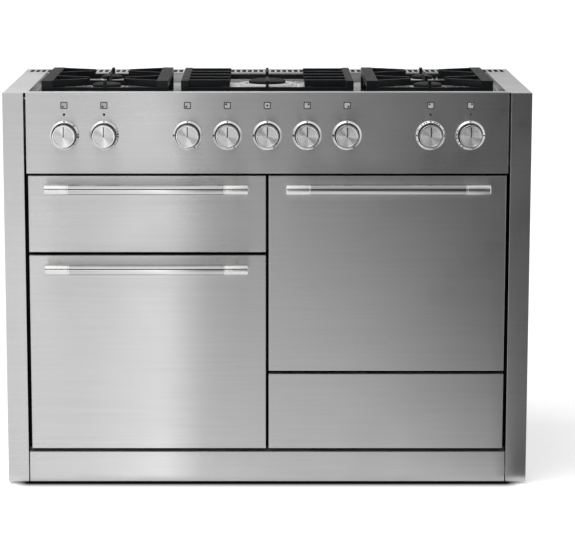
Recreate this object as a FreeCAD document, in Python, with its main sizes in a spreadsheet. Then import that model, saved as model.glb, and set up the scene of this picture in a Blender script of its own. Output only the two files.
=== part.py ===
import FreeCAD, Part
import math
import os
import re
import Sketcher

# Dual fuel range cooker, in millimetres. +X is the cook's right, the fronts face -Y and +Z is up.
# The origin lies on the floor, under the middle of the overall box.

Vector = FreeCAD.Vector
Rotation = FreeCAD.Rotation

# Driving sizes, each settable by itself
SIZES = {
    # the cooker as a whole
    "cooker_width": 1215,
    "body_depth": 629,
    "sheet": 1.5,
    "frame_sheet": 2,
    "overrun": 5,
    "running_clearance": 0.05,
    "seat_clearance": 0.3,
    # side panels
    "side_column": 48,
    "side_strip": 56.5,
    "floor_clearance": 6,
    "side_gap": 8.5,
    # plinth
    "plinth_height": 71.5,
    "plinth_end_gap": 2.5,
    "plinth_return": 20,
    # base frame and feet
    "base_bottom": 36,
    "foot_inset": 60,
    "foot_radius": 22,
    "foot_disc": 10,
    "foot_stem_radius": 6,
    "foot_nut_radius": 11,
    "foot_nut": 8,
    # doors and drawer front
    "low_gap": 8.5,
    "door_gap": 8,
    "centre_gap": 6.5,
    "small_front_height": 177.5,
    "oven_door_height": 458,
    "panel_thickness": 20,
    "panel_flange": 30,
    "panel_low_flange": 50,
    "panel_edge_round": 1.2,
    "liner_start": 40,
    "liner_edge": 10,
    "liner_depth": 25,
    # door hinges
    "hinge_height": 28,
    "hinge_depth": 14,
    "hinge_inset": 45,
    "hinge_pin_radius": 4,
    "hinge_lug_radius": 7,
    "hinge_lug_width": 8,
    "hinge_notch_clearance": 1,
    "hinge_boss_gap": 0.5,
    "hinge_boss_width": 14,
    "hinge_boss_rise": 8,
    # front frame and seals
    "frame_setback": 50,
    "frame_lap": 10,
    "seal_inset": 3,
    "seal_width": 7,
    "aperture_inset": 3,
    "drawer_aperture_side": 20,
    "drawer_aperture_low": 10,
    "drawer_aperture_high": 15,
    # handles
    "handle_length": 469,
    "handle_bar_radius": 12.5,
    "handle_cap_radius": 13,
    "handle_cap_length": 57,
    "handle_cap_chamfer": 3,
    "handle_standoff": 45,
    "handle_post_radius": 5,
    "handle_foot_radius": 6.5,
    "handle_foot": 2,
    "handle_drop": 26,
    # fascia
    "fascia_gap": 6,
    "fascia_height": 188.5,
    "fascia_end_gap": 5.5,
    "fascia_proud": 3,
    "fascia_depth": 12,
    "fascia_round": 4,
    # knobs, bezels and lamps
    "knob_rise": 88.2,
    "knob_pitch": 91.5,
    "outer_knob_place": 466,
    "knob_radius": 26,
    "knob_stand": 29,
    "knob_chamfer": 1.5,
    "knob_rim": 3,
    "knob_dish": 0.8,
    "pointer_width": 1.6,
    "pointer_depth": 0.6,
    "bezel_radius": 34,
    "bezel_wall": 7,
    "bezel_floor": 1.5,
    "bezel_height": 7,
    "bezel_chamfer": 1.5,
    "push_travel": 4,
    "push_gap": 0.5,
    "spindle_radius": 3,
    "spindle_reach": 20,
    "spindle_inlet": 25,
    "spindle_hole_radius": 5,
    "knob_bore_depth": 18.5,
    "lamp_rise": 47.8,
    "lamp_radius": 3,
    "lamp_clearance": 0.1,
    "lamp_proud": 1,
    "lamp_length": 14,
    # controls and gas pipes behind the fascia
    "control_width": 36,
    "control_height": 44,
    "control_depth": 45,
    "terminal_width": 10,
    "terminal_length": 8,
    "gas_rail_side": 16,
    "gas_rail_wall": 2,
    "gas_rail_overhang": 20,
    "gas_pipe_place": 240,
    "gas_socket_radius": 15,
    "gas_socket_length": 30,
    "gas_socket_bore_radius": 9.3,
    "gas_socket_bore_depth": 15,
    "feed_tube_radius": 4,
    "feed_tube_rise": 14,
    # hob deck and vent
    "deck_drop": 12,
    "deck_tail": 8,
    "vent_depth": 97,
    "vent_slot_width": 9.7,
    "vent_slot_length": 62,
    "vent_slot_start": 14,
    "vent_slot_pitch": 14.4,
    "vent_slot_count": 83,
    # burners
    "side_burner_place": 375,
    "front_burner_depth": 123,
    "rear_burner_depth": 330,
    "burner_stem_radius": 20,
    "burner_stem_depth": 24,
    "burner_hole_clearance": 0.3,
    "front_head_radius": 39.5,
    "rear_head_radius": 31.5,
    "head_skirt": 4,
    "head_crown_inset": 4,
    "head_height": 15,
    "cap_inset": 2,
    "cap_height": 13,
    "cap_chamfer": 4,
    "wok_dish_radius": 89,
    "wok_dish_height": 9,
    "wok_dish_wall": 7,
    "wok_dish_floor": 3,
    "wok_head_radius": 65,
    "wok_cap_radius": 44,
    "wok_cap_height": 11,
    "igniter_radius": 2.5,
    "igniter_tip_radius": 1,
    "igniter_height": 15,
    "igniter_tip": 4,
    "igniter_gap": 4,
    # pan supports
    "support_rise": 24,
    "support_half_width": 146,
    "support_front_margin": 79,
    "support_rear_margin": 73,
    "support_rail_width": 26,
    "support_rail_height": 16,
    "low_bar_rise": 8.6,
    "low_bar_height": 12,
    "low_bar_width": 12,
    "finger_width": 10,
    "finger_height": 16,
    "finger_tip_reach": 48,
    "finger_root_offset": 66,
    "finger_bury": 10,
    "spine_width": 7,
    "centre_support_half_width": 199.5,
    "centre_support_front": 49,
    "centre_support_rear": 396,
    "centre_rail_width": 18,
    "blade_inner": 87,
    "blade_width": 14,
    "blade_height": 20,
    "blade_pitch": 75,
    "blade_count": 5,
    "blade_bar_setback": 6,
    "wok_spine_reach": 70,
    # oven and grill cavities
    "oven_rear_space": 147,
    "grill_rear_shortfall": 30,
    "cavity_flange": 15,
    "grill_ledge_rise": 44,
    "grill_ledge_width": 12,
    "grill_pan_height": 28,
    "grill_pan_side_gap": 4,
    "grill_pan_front_gap": 12,
    "grill_pan_rear_gap": 48,
    "grill_pan_rim": 8,
    # shelves
    "ladder_rod_radius": 3,
    "rung_radius": 2.5,
    "ladder_front_gap": 25,
    "ladder_rear_gap": 65,
    "ladder_end_gap": 20,
    "shelf_frame_radius": 3,
    "shelf_side_radius": 2.5,
    "shelf_wire_radius": 1.8,
    "shelf_wire_count": 13,
    "shelf_end_gap": 10,
    # elements
    "grill_element_radius": 3.5,
    "grill_element_drop": 14,
    "grill_element_side_gap": 50,
    "grill_element_front_gap": 50,
    "grill_element_rear_gap": 60,
    "grill_element_runs": 6,
    "ring_element_cover_gap": 50,
    "ring_element_rod_radius": 4,
    "ring_element_stand": 20,
    "ring_sleeve_radius": 5,
    "ring_lead_spacing": 60,
    # fans
    "fan_cover_width": 330,
    "fan_cover_margin": 46,
    "fan_cover_depth": 40,
    "fan_slot_height": 6,
    "fan_slot_pitch": 14,
    "fan_slot_length": 110,
    "fan_slot_count": 8,
    "fan_outlet_width": 20,
    "fan_outlet_length": 180,
    "motor_plate": 3,
    "motor_plate_side": 90,
    "motor_radius": 35,
    "motor_length": 45,
    "fan_shaft_radius": 4,
    "fan_shaft_reach": 27,
    "fan_shaft_hole_radius": 6,
    "impeller_ring_gap": 25,
    "impeller_hub_radius": 12,
    "impeller_hub_length": 22,
    "impeller_stand": 7,
    "impeller_disc": 1.5,
    "impeller_blade_count": 8,
    "impeller_blade_length": 28,
    "impeller_blade_height": 16,
    # drawer
    "drawer_travel": 350,
    "drawer_floor_gap": 5,
    "drawer_height": 128,
    "drawer_rear_gap": 107.5,
    "runner_level": 60,
    "runner_height": 40,
    "runner_depth": 12,
    "runner_side_clearance": 2,
    "runner_clearance": 0.4,
    "runner_overlap": 70,
    "runner_tail": 30,
    "runner_start_gap": 1,
    "runner_ear": 14,
    "runner_leg_length": 40,
    # back panel and supply
    "back_slot_width": 60,
    "back_slot_height": 5,
    "back_slot_pitch": 14,
    "back_slot_count": 6,
    "back_slot_place": 330,
    "back_slot_drop": 221,
    "tether_hole_radius": 2.75,
    "tether_spacing": 60,
    "tether_drop": 61,
    "terminal_box_place": 430,
    "terminal_box_width": 110,
    "terminal_box_height": 80,
    "terminal_box_depth": 50,
    "terminal_box_drop": 141,
    "terminal_block_width": 60,
    "terminal_block_height": 20,
    "terminal_block_depth": 22,
    "cable_hole_radius": 10,
}

# Levels of the shelf ladders, as shares of the cavity's height
LADDER_LEVEL_SHARES = (0.14, 0.34, 0.54, 0.74)
SHELF_LEVELS = (1, 3)

# Places worked out from the driving sizes
PLACES = {
    "handle_reach": "handle_standoff + handle_cap_radius",
    "front": "(handle_reach - body_depth) / 2",
    "back": "front + body_depth",
    "half_width": "cooker_width / 2",
    "column_inner": "half_width - side_column",
    "wall_inner": "half_width - sheet",
    "door_outer": "column_inner - side_gap",
    "door_inner": "centre_gap / 2",
    "plinth_top": "floor_clearance + plinth_height",
    "fronts_bottom": "plinth_top + low_gap",
    "left_oven_top": "fronts_bottom + oven_door_height",
    "grill_bottom": "left_oven_top + door_gap",
    "fronts_top": "grill_bottom + small_front_height",
    "drawer_top": "fronts_bottom + small_front_height",
    "right_oven_bottom": "drawer_top + door_gap",
    "right_oven_top": "right_oven_bottom + oven_door_height",
    "fascia_bottom": "fronts_top + fascia_gap",
    "fascia_top": "fascia_bottom + fascia_height",
    "rim_height": "fascia_top - fascia_proud",
    "fascia_half": "column_inner - fascia_end_gap",
    "frame_face": "front + frame_setback",
    "frame_back": "frame_face + frame_sheet",
    "frame_top": "fascia_bottom + frame_lap",
    "aperture_side": "liner_edge + seal_inset + seal_width + aperture_inset",
    "aperture_low": "liner_start + seal_inset + seal_width + aperture_inset",
    "knob_level": "fascia_bottom + knob_rise",
    "deck_level": "rim_height - deck_drop",
    "deck_bottom": "deck_level - sheet",
    "strip_bottom": "rim_height - sheet",
    "vent_front": "back - vent_depth",
    "support_top": "rim_height + support_rise",
    "support_front": "front_burner_depth - support_front_margin",
    "support_rear": "rear_burner_depth + support_rear_margin",
    "low_bar_top": "rim_height + low_bar_rise",
    "low_bar_bottom": "low_bar_top - low_bar_height",
    "wok_burner_depth": "(centre_support_front + centre_support_rear) / 2",
    "bezel_inner": "bezel_radius - bezel_wall",
    "knob_back": "front - bezel_floor - push_gap - push_travel",
    "knob_length": "knob_stand - bezel_floor - push_gap - push_travel",
    "base_top": "plinth_top",
    "drawer_centre": "(door_outer + door_inner) / 2",
    "runner_outer": "(door_outer - door_inner) / 2 - drawer_aperture_side",
    "runner_centre": "fronts_bottom + runner_level",
    "runner_middle_length": "drawer_travel + runner_overlap",
    "runner_length": "runner_middle_length + runner_tail",
    "drawer_bottom": "fronts_bottom + drawer_aperture_low + drawer_floor_gap",
    "drawer_length": "body_depth - sheet - drawer_rear_gap - panel_thickness",
    "drawer_box_half": "runner_outer - runner_depth - runner_side_clearance",
    "oven_rear": "back - oven_rear_space",
    "oven_depth": "oven_rear - frame_back",
    "ladder_length": "oven_depth - ladder_front_gap - ladder_rear_gap",
    "grill_rear": "oven_rear - grill_rear_shortfall",
    "grill_depth": "grill_rear - frame_back",
    "grill_pan_length": "grill_depth - grill_pan_front_gap - grill_pan_rear_gap",
    "fan_cover_height": "oven_door_height - aperture_low - aperture_side - 2 * fan_cover_margin",
    "ring_element_radius": "fan_cover_height / 2 - ring_element_cover_gap",
    "impeller_radius": "ring_element_radius - impeller_ring_gap",
    "feed_level": "knob_level + feed_tube_rise",
    "back_slot_level": "rim_height - back_slot_drop",
    "tether_level": "rim_height - tether_drop",
    "terminal_box_level": "rim_height - terminal_box_drop",
}

# Outline of each door and of the drawer front: low and high x, low and high z
FRONTS = {
    "grill_door": (("-door_outer", "-door_inner"), ("grill_bottom", "fronts_top")),
    "left_oven_door": (("-door_outer", "-door_inner"), ("fronts_bottom", "left_oven_top")),
    "right_oven_door": (("door_inner", "door_outer"), ("right_oven_bottom", "right_oven_top")),
    "drawer_front": (("door_inner", "door_outer"), ("fronts_bottom", "drawer_top")),
}
DOORS = ("grill_door", "left_oven_door", "right_oven_door")

# Each burner: place across, depth behind the front, head radius and the valve that feeds it
BURNERS = {
    "left_front": ("-side_burner_place", "front_burner_depth", "front_head_radius", "-2 * knob_pitch"),
    "left_rear": ("-side_burner_place", "rear_burner_depth", "rear_head_radius", "-knob_pitch"),
    "centre": ("0", "wok_burner_depth", "wok_head_radius", "0"),
    "right_rear": ("side_burner_place", "rear_burner_depth", "rear_head_radius", "knob_pitch"),
    "right_front": ("side_burner_place", "front_burner_depth", "front_head_radius", "2 * knob_pitch"),
}

# The controls that aren't gas valves, and their places
OVEN_CONTROLS = {
    "grill": "-outer_knob_place",
    "left_oven": "-outer_knob_place + knob_pitch",
    "right_oven_function": "outer_knob_place - knob_pitch",
    "right_oven_heat": "outer_knob_place",
}

TURNS = {
    "x": Rotation(Vector(0, 1, 0), 90),
    "y": Rotation(Vector(1, 0, 0), -90),
    "-y": Rotation(Vector(1, 0, 0), 90),
    "z": Rotation(),
}

doc = FreeCAD.newDocument("range_cooker")
dims = doc.addObject("Spreadsheet::Sheet", "dims")
nodes = []


def fill_sheet():
    """Write the driving sizes in the sheet, one alias each."""
    for row, (name, value) in enumerate(SIZES.items(), start=1):
        dims.set(f"A{row}", name)
        dims.set(f"B{row}", str(value))
        dims.setAlias(f"B{row}", name)
    doc.recompute()


def expand(formula):
    """Spell a formula out in cells of the sheet."""
    def swap(match):
        word = match.group(0)
        if word in PLACES:
            return f"({expand(PLACES[word])})"
        if word in SIZES:
            return f"dims.{word}"
        return word
    return re.sub(r"[A-Za-z_]\w*", swap, formula)


def value_of(formula):
    """The number that a formula gives now."""
    return float(dims.evalExpression(expand(formula)))


def bind(item, path, formula):
    item.setExpression(path, expand(formula))


def put(item, x, y, z, turn="z"):
    """Place an object by formulas."""
    item.Placement.Rotation = TURNS[turn]
    for axis, formula in zip("xyz", (x, y, z)):
        bind(item, f"Placement.Base.{axis}", formula)
    return item


def node(label, item):
    """Keep a finished sub-part under its own name."""
    item.Label = label
    nodes.append(item)
    return item


def box(x, y, z):
    """A block between a low and a high formula on each axis."""
    item = doc.addObject("Part::Box", "block")
    for side, (low, high) in zip(("Length", "Width", "Height"), (x, y, z)):
        bind(item, side, f"({high}) - ({low})")
    return put(item, x[0], y[0], z[0])


def rod(along, start, length, radius):
    """A round rod from its start point towards +x, +y or +z."""
    item = doc.addObject("Part::Cylinder", "rod")
    bind(item, "Radius", radius)
    bind(item, "Height", length)
    return put(item, *start, turn=along)


def ball(centre, radius):
    item = doc.addObject("Part::Sphere", "ball")
    bind(item, "Radius", radius)
    return put(item, *centre)


def together(*items):
    """Separate solids in one object."""
    item = doc.addObject("Part::Compound", "set")
    item.Links = list(items)
    return item


def fuse(*items):
    item = doc.addObject("Part::MultiFuse", "joined")
    item.Shapes = list(items)
    item.Refine = True
    return item


def cut(base, *tools):
    item = doc.addObject("Part::Cut", "trimmed")
    item.Base = base
    item.Tool = tools[0] if len(tools) == 1 else together(*tools)
    return item


def around(centre, half):
    """The low and high formulas of a span about its centre."""
    return (f"{centre} - ({half})", f"{centre} + ({half})")


def inset(span, low, high=None):
    """A span drawn in at both ends."""
    return (f"{span[0]} + ({low})", f"{span[1]} - ({low if high is None else high})")


def mirrored(span, side):
    """A span on the right, or its mirror image on the left."""
    return span if side > 0 else (f"-({span[1]})", f"-({span[0]})")


def shell(x, y, z, wall, open_face):
    """A box of sheet with one open face."""
    outer = box(x, y, z)
    hollow = []
    for axis, (low, high) in zip("xyz", (x, y, z)):
        low_end = f"{low} - overrun" if open_face == f"-{axis}" else f"{low} + {wall}"
        high_end = f"{high} + overrun" if open_face == f"+{axis}" else f"{high} - {wall}"
        hollow.append((low_end, high_end))
    return cut(outer, box(*hollow))


def ring(x, y, z, width):
    """A flat rectangular frame that faces along y."""
    return cut(box(x, y, z), box(inset(x, width), inset(y, "-overrun"), inset(z, width)))


def pipe(points, radius):
    """A round pipe through square corners, from axis to axis."""
    pieces = []
    for start, end in zip(points, points[1:]):
        axis = [index for index in range(3) if start[index] != end[index]][0]
        ahead = value_of(end[axis]) > value_of(start[axis])
        low, high = (start, end) if ahead else (end, start)
        pieces.append(rod("xyz"[axis], low, f"({high[axis]}) - ({low[axis]})", radius))
    pieces += [ball(corner, radius) for corner in points[1:-1]]
    return fuse(*pieces)


def origin_plane(body, role):
    return [item for item in body.Origin.OriginFeatures if item.Role == role][0]


def new_body(name):
    return doc.addObject("PartDesign::Body", name)


def outline(body, role, points):
    """A closed sketch whose corners are formulas."""
    sketch = body.newObject("Sketcher::SketchObject", "outline")
    sketch.AttachmentSupport = [(origin_plane(body, role), "")]
    sketch.MapMode = "FlatFace"
    corners = [Vector(value_of(across), value_of(up), 0) for across, up in points]
    for start, end in zip(corners, corners[1:] + corners[:1]):
        sketch.addGeometry(Part.LineSegment(start, end), False)
    for index, (across, up) in enumerate(points):
        following = (index + 1) % len(points)
        sketch.addConstraint(Sketcher.Constraint("Coincident", index, 2, following, 1))
        for kind, formula, place in (("DistanceX", across, corners[index].x),
                                     ("DistanceY", up, corners[index].y)):
            number = sketch.addConstraint(Sketcher.Constraint(kind, -1, 1, index, 1, place))
            bind(sketch, f"Constraints[{number}]", formula)
    return sketch


def rectangle(across, up):
    return [(across[0], up[0]), (across[1], up[0]), (across[1], up[1]), (across[0], up[1])]


def pad(body, sketch, length, back=False, middle=False):
    item = body.newObject("PartDesign::Pad", "pad")
    item.Profile = sketch
    item.Reversed = back
    item.Midplane = middle
    bind(item, "Length", length)
    doc.recompute()
    return item


def pocket(body, sketch):
    """Cut a sketch through the whole body, both ways."""
    before = body.Shape.Volume
    item = body.newObject("PartDesign::Pocket", "pocket")
    item.Profile = sketch
    item.Type = "ThroughAll"
    item.Midplane = True
    doc.recompute()
    assert item.Shape.Volume < before
    return item


def repeat_along(body, feature, sketch, pitch, count, axis="H_Axis"):
    """Repeat a cut in a row along its sketch."""
    item = body.newObject("PartDesign::LinearPattern", "row")
    item.Originals = [feature]
    item.Direction = (sketch, [axis])
    item.Mode = "Spacing"
    bind(item, "Offset", pitch)
    bind(item, "Occurrences", count)
    body.Tip = item
    doc.recompute()
    return item


def round_edges(body, base, radius, chosen):
    """Round the edges of a feature that the test picks."""
    names = [f"Edge{index}" for index, edge in enumerate(base.Shape.Edges, start=1) if chosen(edge)]
    item = body.newObject("PartDesign::Fillet", "rounding")
    item.Base = (base, names)
    bind(item, "Radius", radius)
    doc.recompute()
    return item


def turned(points, place, turn):
    """A round piece: its profile, radius and height, turned about its own axis."""
    body = new_body("turned")
    sketch = outline(body, "XZ_Plane", points)
    item = body.newObject("PartDesign::Revolution", "turning")
    item.Profile = sketch
    item.ReferenceAxis = (sketch, ["V_Axis"])
    item.Angle = 360
    return put(body, *place, turn=turn)


def near(first, second):
    return abs(first - second) < value_of("running_clearance")


# Casing

def make_base_frame():
    outer_y = ("frame_face", "back - sheet")
    tray = shell(("-wall_inner", "wall_inner"), outer_y, ("base_bottom", "base_top"), "frame_sheet", "-z")
    node("base_frame", tray)


def make_levelling_feet():
    feet = []
    for x in ("-half_width + foot_inset", "half_width - foot_inset"):
        for y in ("frame_face + foot_inset", "back - foot_inset"):
            disc = rod("z", (x, y, "0"), "foot_disc", "foot_radius")
            stem = rod("z", (x, y, "0"), "base_top - frame_sheet", "foot_stem_radius")
            nut = rod("z", (x, y, "base_top - frame_sheet - foot_nut"), "foot_nut", "foot_nut_radius")
            feet.append(fuse(disc, stem, nut))
    node("levelling_feet", together(*feet))


def make_side_panel(label, side):
    wall = box(mirrored(("wall_inner", "half_width"), side), ("front", "back"),
               ("floor_clearance", "strip_bottom"))
    column = box(mirrored(("column_inner", "half_width"), side), ("front", "front + sheet"),
                 ("floor_clearance", "rim_height"))
    column_return = box(mirrored(("column_inner", "column_inner + sheet"), side),
                        ("front", "frame_face"), ("floor_clearance", "rim_height"))
    strip = box(mirrored(("column_inner", "half_width"), side), ("front", "vent_front"),
                ("strip_bottom", "rim_height"))
    inner_strip = box(mirrored(("half_width - side_strip", "column_inner"), side),
                      ("front + fascia_depth", "vent_front"), ("strip_bottom", "rim_height"))
    strip_return = box(mirrored(("half_width - side_strip", "half_width - side_strip + sheet"), side),
                       ("front + fascia_depth", "vent_front"), ("deck_level", "rim_height"))
    node(label, fuse(wall, column, column_return, strip, inner_strip, strip_return))


def make_back_panel():
    body = new_body("back_sheet")
    plate_z = ("base_bottom", "strip_bottom")
    pad(body, outline(body, "XZ_Plane", rectangle(("-wall_inner", "wall_inner"), plate_z)), "sheet")
    first_slot = ("back_slot_level", "back_slot_level + back_slot_height")
    for centre in ("-back_slot_place", "back_slot_place"):
        slot = outline(body, "XZ_Plane", rectangle(around(centre, "back_slot_width"), first_slot))
        cutter = pocket(body, slot)
        repeat_along(body, cutter, slot, "back_slot_pitch", "back_slot_count", "V_Axis")
    put(body, "0", "back", "0")
    start = "back - sheet - overrun"
    long_cut = "sheet + 2 * overrun"
    holes = [
        rod("y", ("-terminal_box_place", start, "terminal_box_level"), long_cut, "cable_hole_radius"),
        rod("y", ("gas_pipe_place", start, "knob_level"), long_cut, "gas_socket_radius + seat_clearance"),
        rod("y", ("-tether_spacing / 2", start, "tether_level"), long_cut, "tether_hole_radius"),
        rod("y", ("tether_spacing / 2", start, "tether_level"), long_cut, "tether_hole_radius"),
    ]
    node("back_panel", cut(body, *holes))


def make_plinth_panel():
    x = ("-column_inner + plinth_end_gap", "column_inner - plinth_end_gap")
    z = ("floor_clearance", "plinth_top")
    face = box(x, ("front", "front + sheet"), z)
    top = box(x, ("front", "frame_face"), ("plinth_top - sheet", "plinth_top"))
    bottom = box(x, ("front", "front + plinth_return"), ("floor_clearance", "floor_clearance + sheet"))
    ends = [box(mirrored((f"{x[1]} - sheet", x[1]), side), ("front", "front + plinth_return"), z)
            for side in (-1, 1)]
    node("plinth_panel", fuse(face, top, bottom, *ends))


def aperture(name):
    """The opening in the front frame behind a door or the drawer front."""
    x, z = FRONTS[name]
    if name == "drawer_front":
        return inset(x, "drawer_aperture_side"), inset(z, "drawer_aperture_low", "drawer_aperture_high")
    return inset(x, "aperture_side"), inset(z, "aperture_low", "aperture_side")


def make_front_frame():
    body = new_body("frame_sheet_metal")
    plate = outline(body, "XZ_Plane", rectangle(("-wall_inner", "wall_inner"), ("base_top", "frame_top")))
    pad(body, plate, "frame_sheet")
    for name in FRONTS:
        pocket(body, outline(body, "XZ_Plane", rectangle(*aperture(name))))
    node("front_frame", put(body, "0", "frame_back", "0"))


def make_hob_deck():
    plate_y = ("front + fascia_depth - sheet", "vent_front + deck_tail")
    plate = box(("-column_inner", "column_inner"), plate_y, ("deck_bottom", "deck_level"))
    holes = [rod("z", (x, f"front + {depth}", "deck_bottom - overrun"), "sheet + 2 * overrun",
                 "burner_stem_radius + burner_hole_clearance")
             for x, depth, radius, valve in BURNERS.values()]
    node("hob_deck", cut(plate, *holes))


def make_vent_grille():
    body = new_body("vent_sheet")
    plate = outline(body, "XY_Plane", rectangle(("-half_width", "half_width"), ("vent_front", "back")))
    pad(body, plate, "sheet")
    first = "-(vent_slot_count - 1) / 2 * vent_slot_pitch"
    slot_front = "vent_front + vent_slot_start"
    slot = outline(body, "XY_Plane", rectangle(around(first, "vent_slot_width / 2"),
                                               (slot_front, f"{slot_front} + vent_slot_length")))
    repeat_along(body, pocket(body, slot), slot, "vent_slot_pitch", "vent_slot_count")
    put(body, "0", "0", "strip_bottom")
    fold = box(("-column_inner", "column_inner"), ("vent_front", "vent_front + sheet"),
               ("deck_level", "strip_bottom"))
    node("vent_grille", fuse(body, fold))


# Fascia and controls

def make_control_fascia():
    """The fascia's folded section runs along x and is closed at both ends."""
    section = [
        ("frame_setback", "fascia_bottom"),
        ("0", "fascia_bottom"),
        ("0", "fascia_top"),
        ("fascia_depth", "fascia_top"),
        ("fascia_depth", "deck_level"),
        ("fascia_depth - sheet", "deck_level"),
        ("fascia_depth - sheet", "fascia_top - sheet"),
        ("sheet", "fascia_top - sheet"),
        ("sheet", "fascia_bottom + sheet"),
        ("frame_setback", "fascia_bottom + sheet"),
    ]
    body = new_body("fascia_sheet")
    fold = pad(body, outline(body, "YZ_Plane", section), "2 * fascia_half", middle=True)

    def at_top_front(edge):
        ends = [vertex.Point for vertex in edge.Vertexes]
        return all(near(end.y, 0) and near(end.z, value_of("fascia_top")) for end in ends)

    round_edges(body, fold, "fascia_round", at_top_front)
    put(body, "0", "front", "0")
    ends = [box(mirrored(("fascia_half - sheet", "fascia_half"), side),
                ("front + sheet", "front + fascia_depth - sheet"),
                ("fascia_bottom + sheet", "fascia_top - fascia_round")) for side in (-1, 1)]
    holes = [rod("y", (x, "front - overrun", "knob_level"), "sheet + 2 * overrun", "spindle_hole_radius")
             for x in knob_places().values()]
    holes += [rod("y", (x, "front - overrun", "knob_level + lamp_rise"), "sheet + 2 * overrun",
                  "lamp_radius + lamp_clearance") for x in OVEN_CONTROLS.values()]
    node("control_fascia", cut(fuse(body, *ends), *holes))


def knob_places():
    """Every knob's name and its place across the fascia."""
    places = {name: place for name, place in OVEN_CONTROLS.items()}
    places.update({f"{name}_burner": valve for name, (x, depth, radius, valve) in BURNERS.items()})
    return places


def make_knob_bezels():
    section = [
        ("spindle_hole_radius", "0"),
        ("bezel_radius", "0"),
        ("bezel_radius", "bezel_height - bezel_chamfer"),
        ("bezel_radius - bezel_chamfer", "bezel_height"),
        ("bezel_inner", "bezel_height"),
        ("bezel_inner", "bezel_floor"),
        ("spindle_hole_radius", "bezel_floor"),
    ]
    bezels = [turned(section, (x, "front", "knob_level"), "-y") for x in knob_places().values()]
    node("knob_bezels", together(*bezels))


def make_indicator_lamps():
    lamps = [rod("y", (x, "front - lamp_proud", "knob_level + lamp_rise"), "lamp_length", "lamp_radius")
             for x in OVEN_CONTROLS.values()]
    node("indicator_lamps", together(*lamps))


def knob_face():
    """The outer part of every knob's profile, from its back edge to the middle of its face."""
    return [
        ("knob_radius", "0"),
        ("knob_radius", "knob_length - knob_chamfer"),
        ("knob_radius - knob_chamfer", "knob_length"),
        ("knob_radius - knob_rim", "knob_length"),
        ("knob_radius - knob_rim", "knob_length - knob_dish"),
        ("0", "knob_length - knob_dish"),
    ]


def make_knob(label, x, gas):
    """A gas knob slides on its spindle; an oven knob has its shaft in one piece with it."""
    if gas:
        bore = "spindle_radius + running_clearance"
        inside = [("0", "knob_bore_depth"), (bore, "knob_bore_depth"), (bore, "0")]
    else:
        shaft_end = "knob_back - front - spindle_inlet"
        inside = [("0", shaft_end), ("spindle_radius", shaft_end), ("spindle_radius", "0")]
    blank = turned(knob_face() + inside, (x, "knob_back", "knob_level"), "-y")
    face = "knob_back - knob_length + knob_dish"
    pointer = box(around(x, "pointer_width / 2"), (f"{face} - overrun", f"{face} + pointer_depth"),
                  ("knob_level", "knob_level + knob_radius + overrun"))
    node(label, cut(blank, pointer))


def make_knobs_and_spindles():
    for name, x in knob_places().items():
        gas = name not in OVEN_CONTROLS
        make_knob(f"knob_{name}", x, gas)
        if gas:
            spindle = rod("y", (x, "front - spindle_reach", "knob_level"), "spindle_reach + spindle_inlet",
                          "spindle_radius")
            node(f"spindle_{name}", spindle)


def make_control_units():
    """Five gas valves and four oven controls, each with a blind bore for its spindle."""
    units = []
    for name, x in knob_places().items():
        y = ("front + sheet", "front + sheet + control_depth")
        block = box(around(x, "control_width / 2"), y, around("knob_level", "control_height / 2"))
        bore = rod("y", (x, "front", "knob_level"), "spindle_inlet + running_clearance",
                   "spindle_radius + running_clearance")
        if name in OVEN_CONTROLS:
            tags = [box(around(f"{x} + {side} * control_width / 4", "terminal_width / 2"),
                        (y[1], f"{y[1]} + terminal_length"), around("knob_level", "terminal_width / 2"))
                    for side in (-1, 1)]
            block = fuse(block, *tags)
        units.append(cut(block, bore))
    node("control_units", together(*units))


def make_gas_pipework():
    """The rail behind the valves, the supply pipe to the back and a feed tube to each burner."""
    rail_front = "front + sheet + control_depth"
    rail_y = (rail_front, f"{rail_front} + gas_rail_side")
    rail_z = around("knob_level", "gas_rail_side / 2")
    rail_x = ("-2 * knob_pitch - gas_rail_overhang", "gas_pipe_place + gas_rail_side / 2")
    rail = shell(rail_x, rail_y, rail_z, "gas_rail_wall", "none")
    pipe_x = around("gas_pipe_place", "gas_rail_side / 2")
    supply = box(pipe_x, (rail_y[1], "back - gas_socket_length"), rail_z)
    flow = box(inset(pipe_x, "gas_rail_wall"), (f"{rail_y[1]} - gas_rail_wall", "back - gas_socket_length"),
               inset(rail_z, "gas_rail_wall"))
    socket = rod("y", ("gas_pipe_place", "back - gas_socket_length", "knob_level"), "gas_socket_length",
                 "gas_socket_radius")
    bore = rod("y", ("gas_pipe_place", "back - gas_socket_bore_depth", "knob_level"),
               "gas_socket_bore_depth + overrun", "gas_socket_bore_radius")
    pieces = [cut(fuse(rail, supply, socket), flow, bore)]
    for x, depth, radius, valve in BURNERS.values():
        y = f"front + {depth}"
        route = [(valve, rail_front, "feed_level"), (valve, y, "feed_level")]
        if x != valve:
            route.append((x, y, "feed_level"))
        route.append((x, y, "deck_level - burner_stem_depth"))
        pieces.append(pipe(route, "feed_tube_radius"))
    node("gas_pipework", together(*pieces))


# Burners and pan supports

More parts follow.
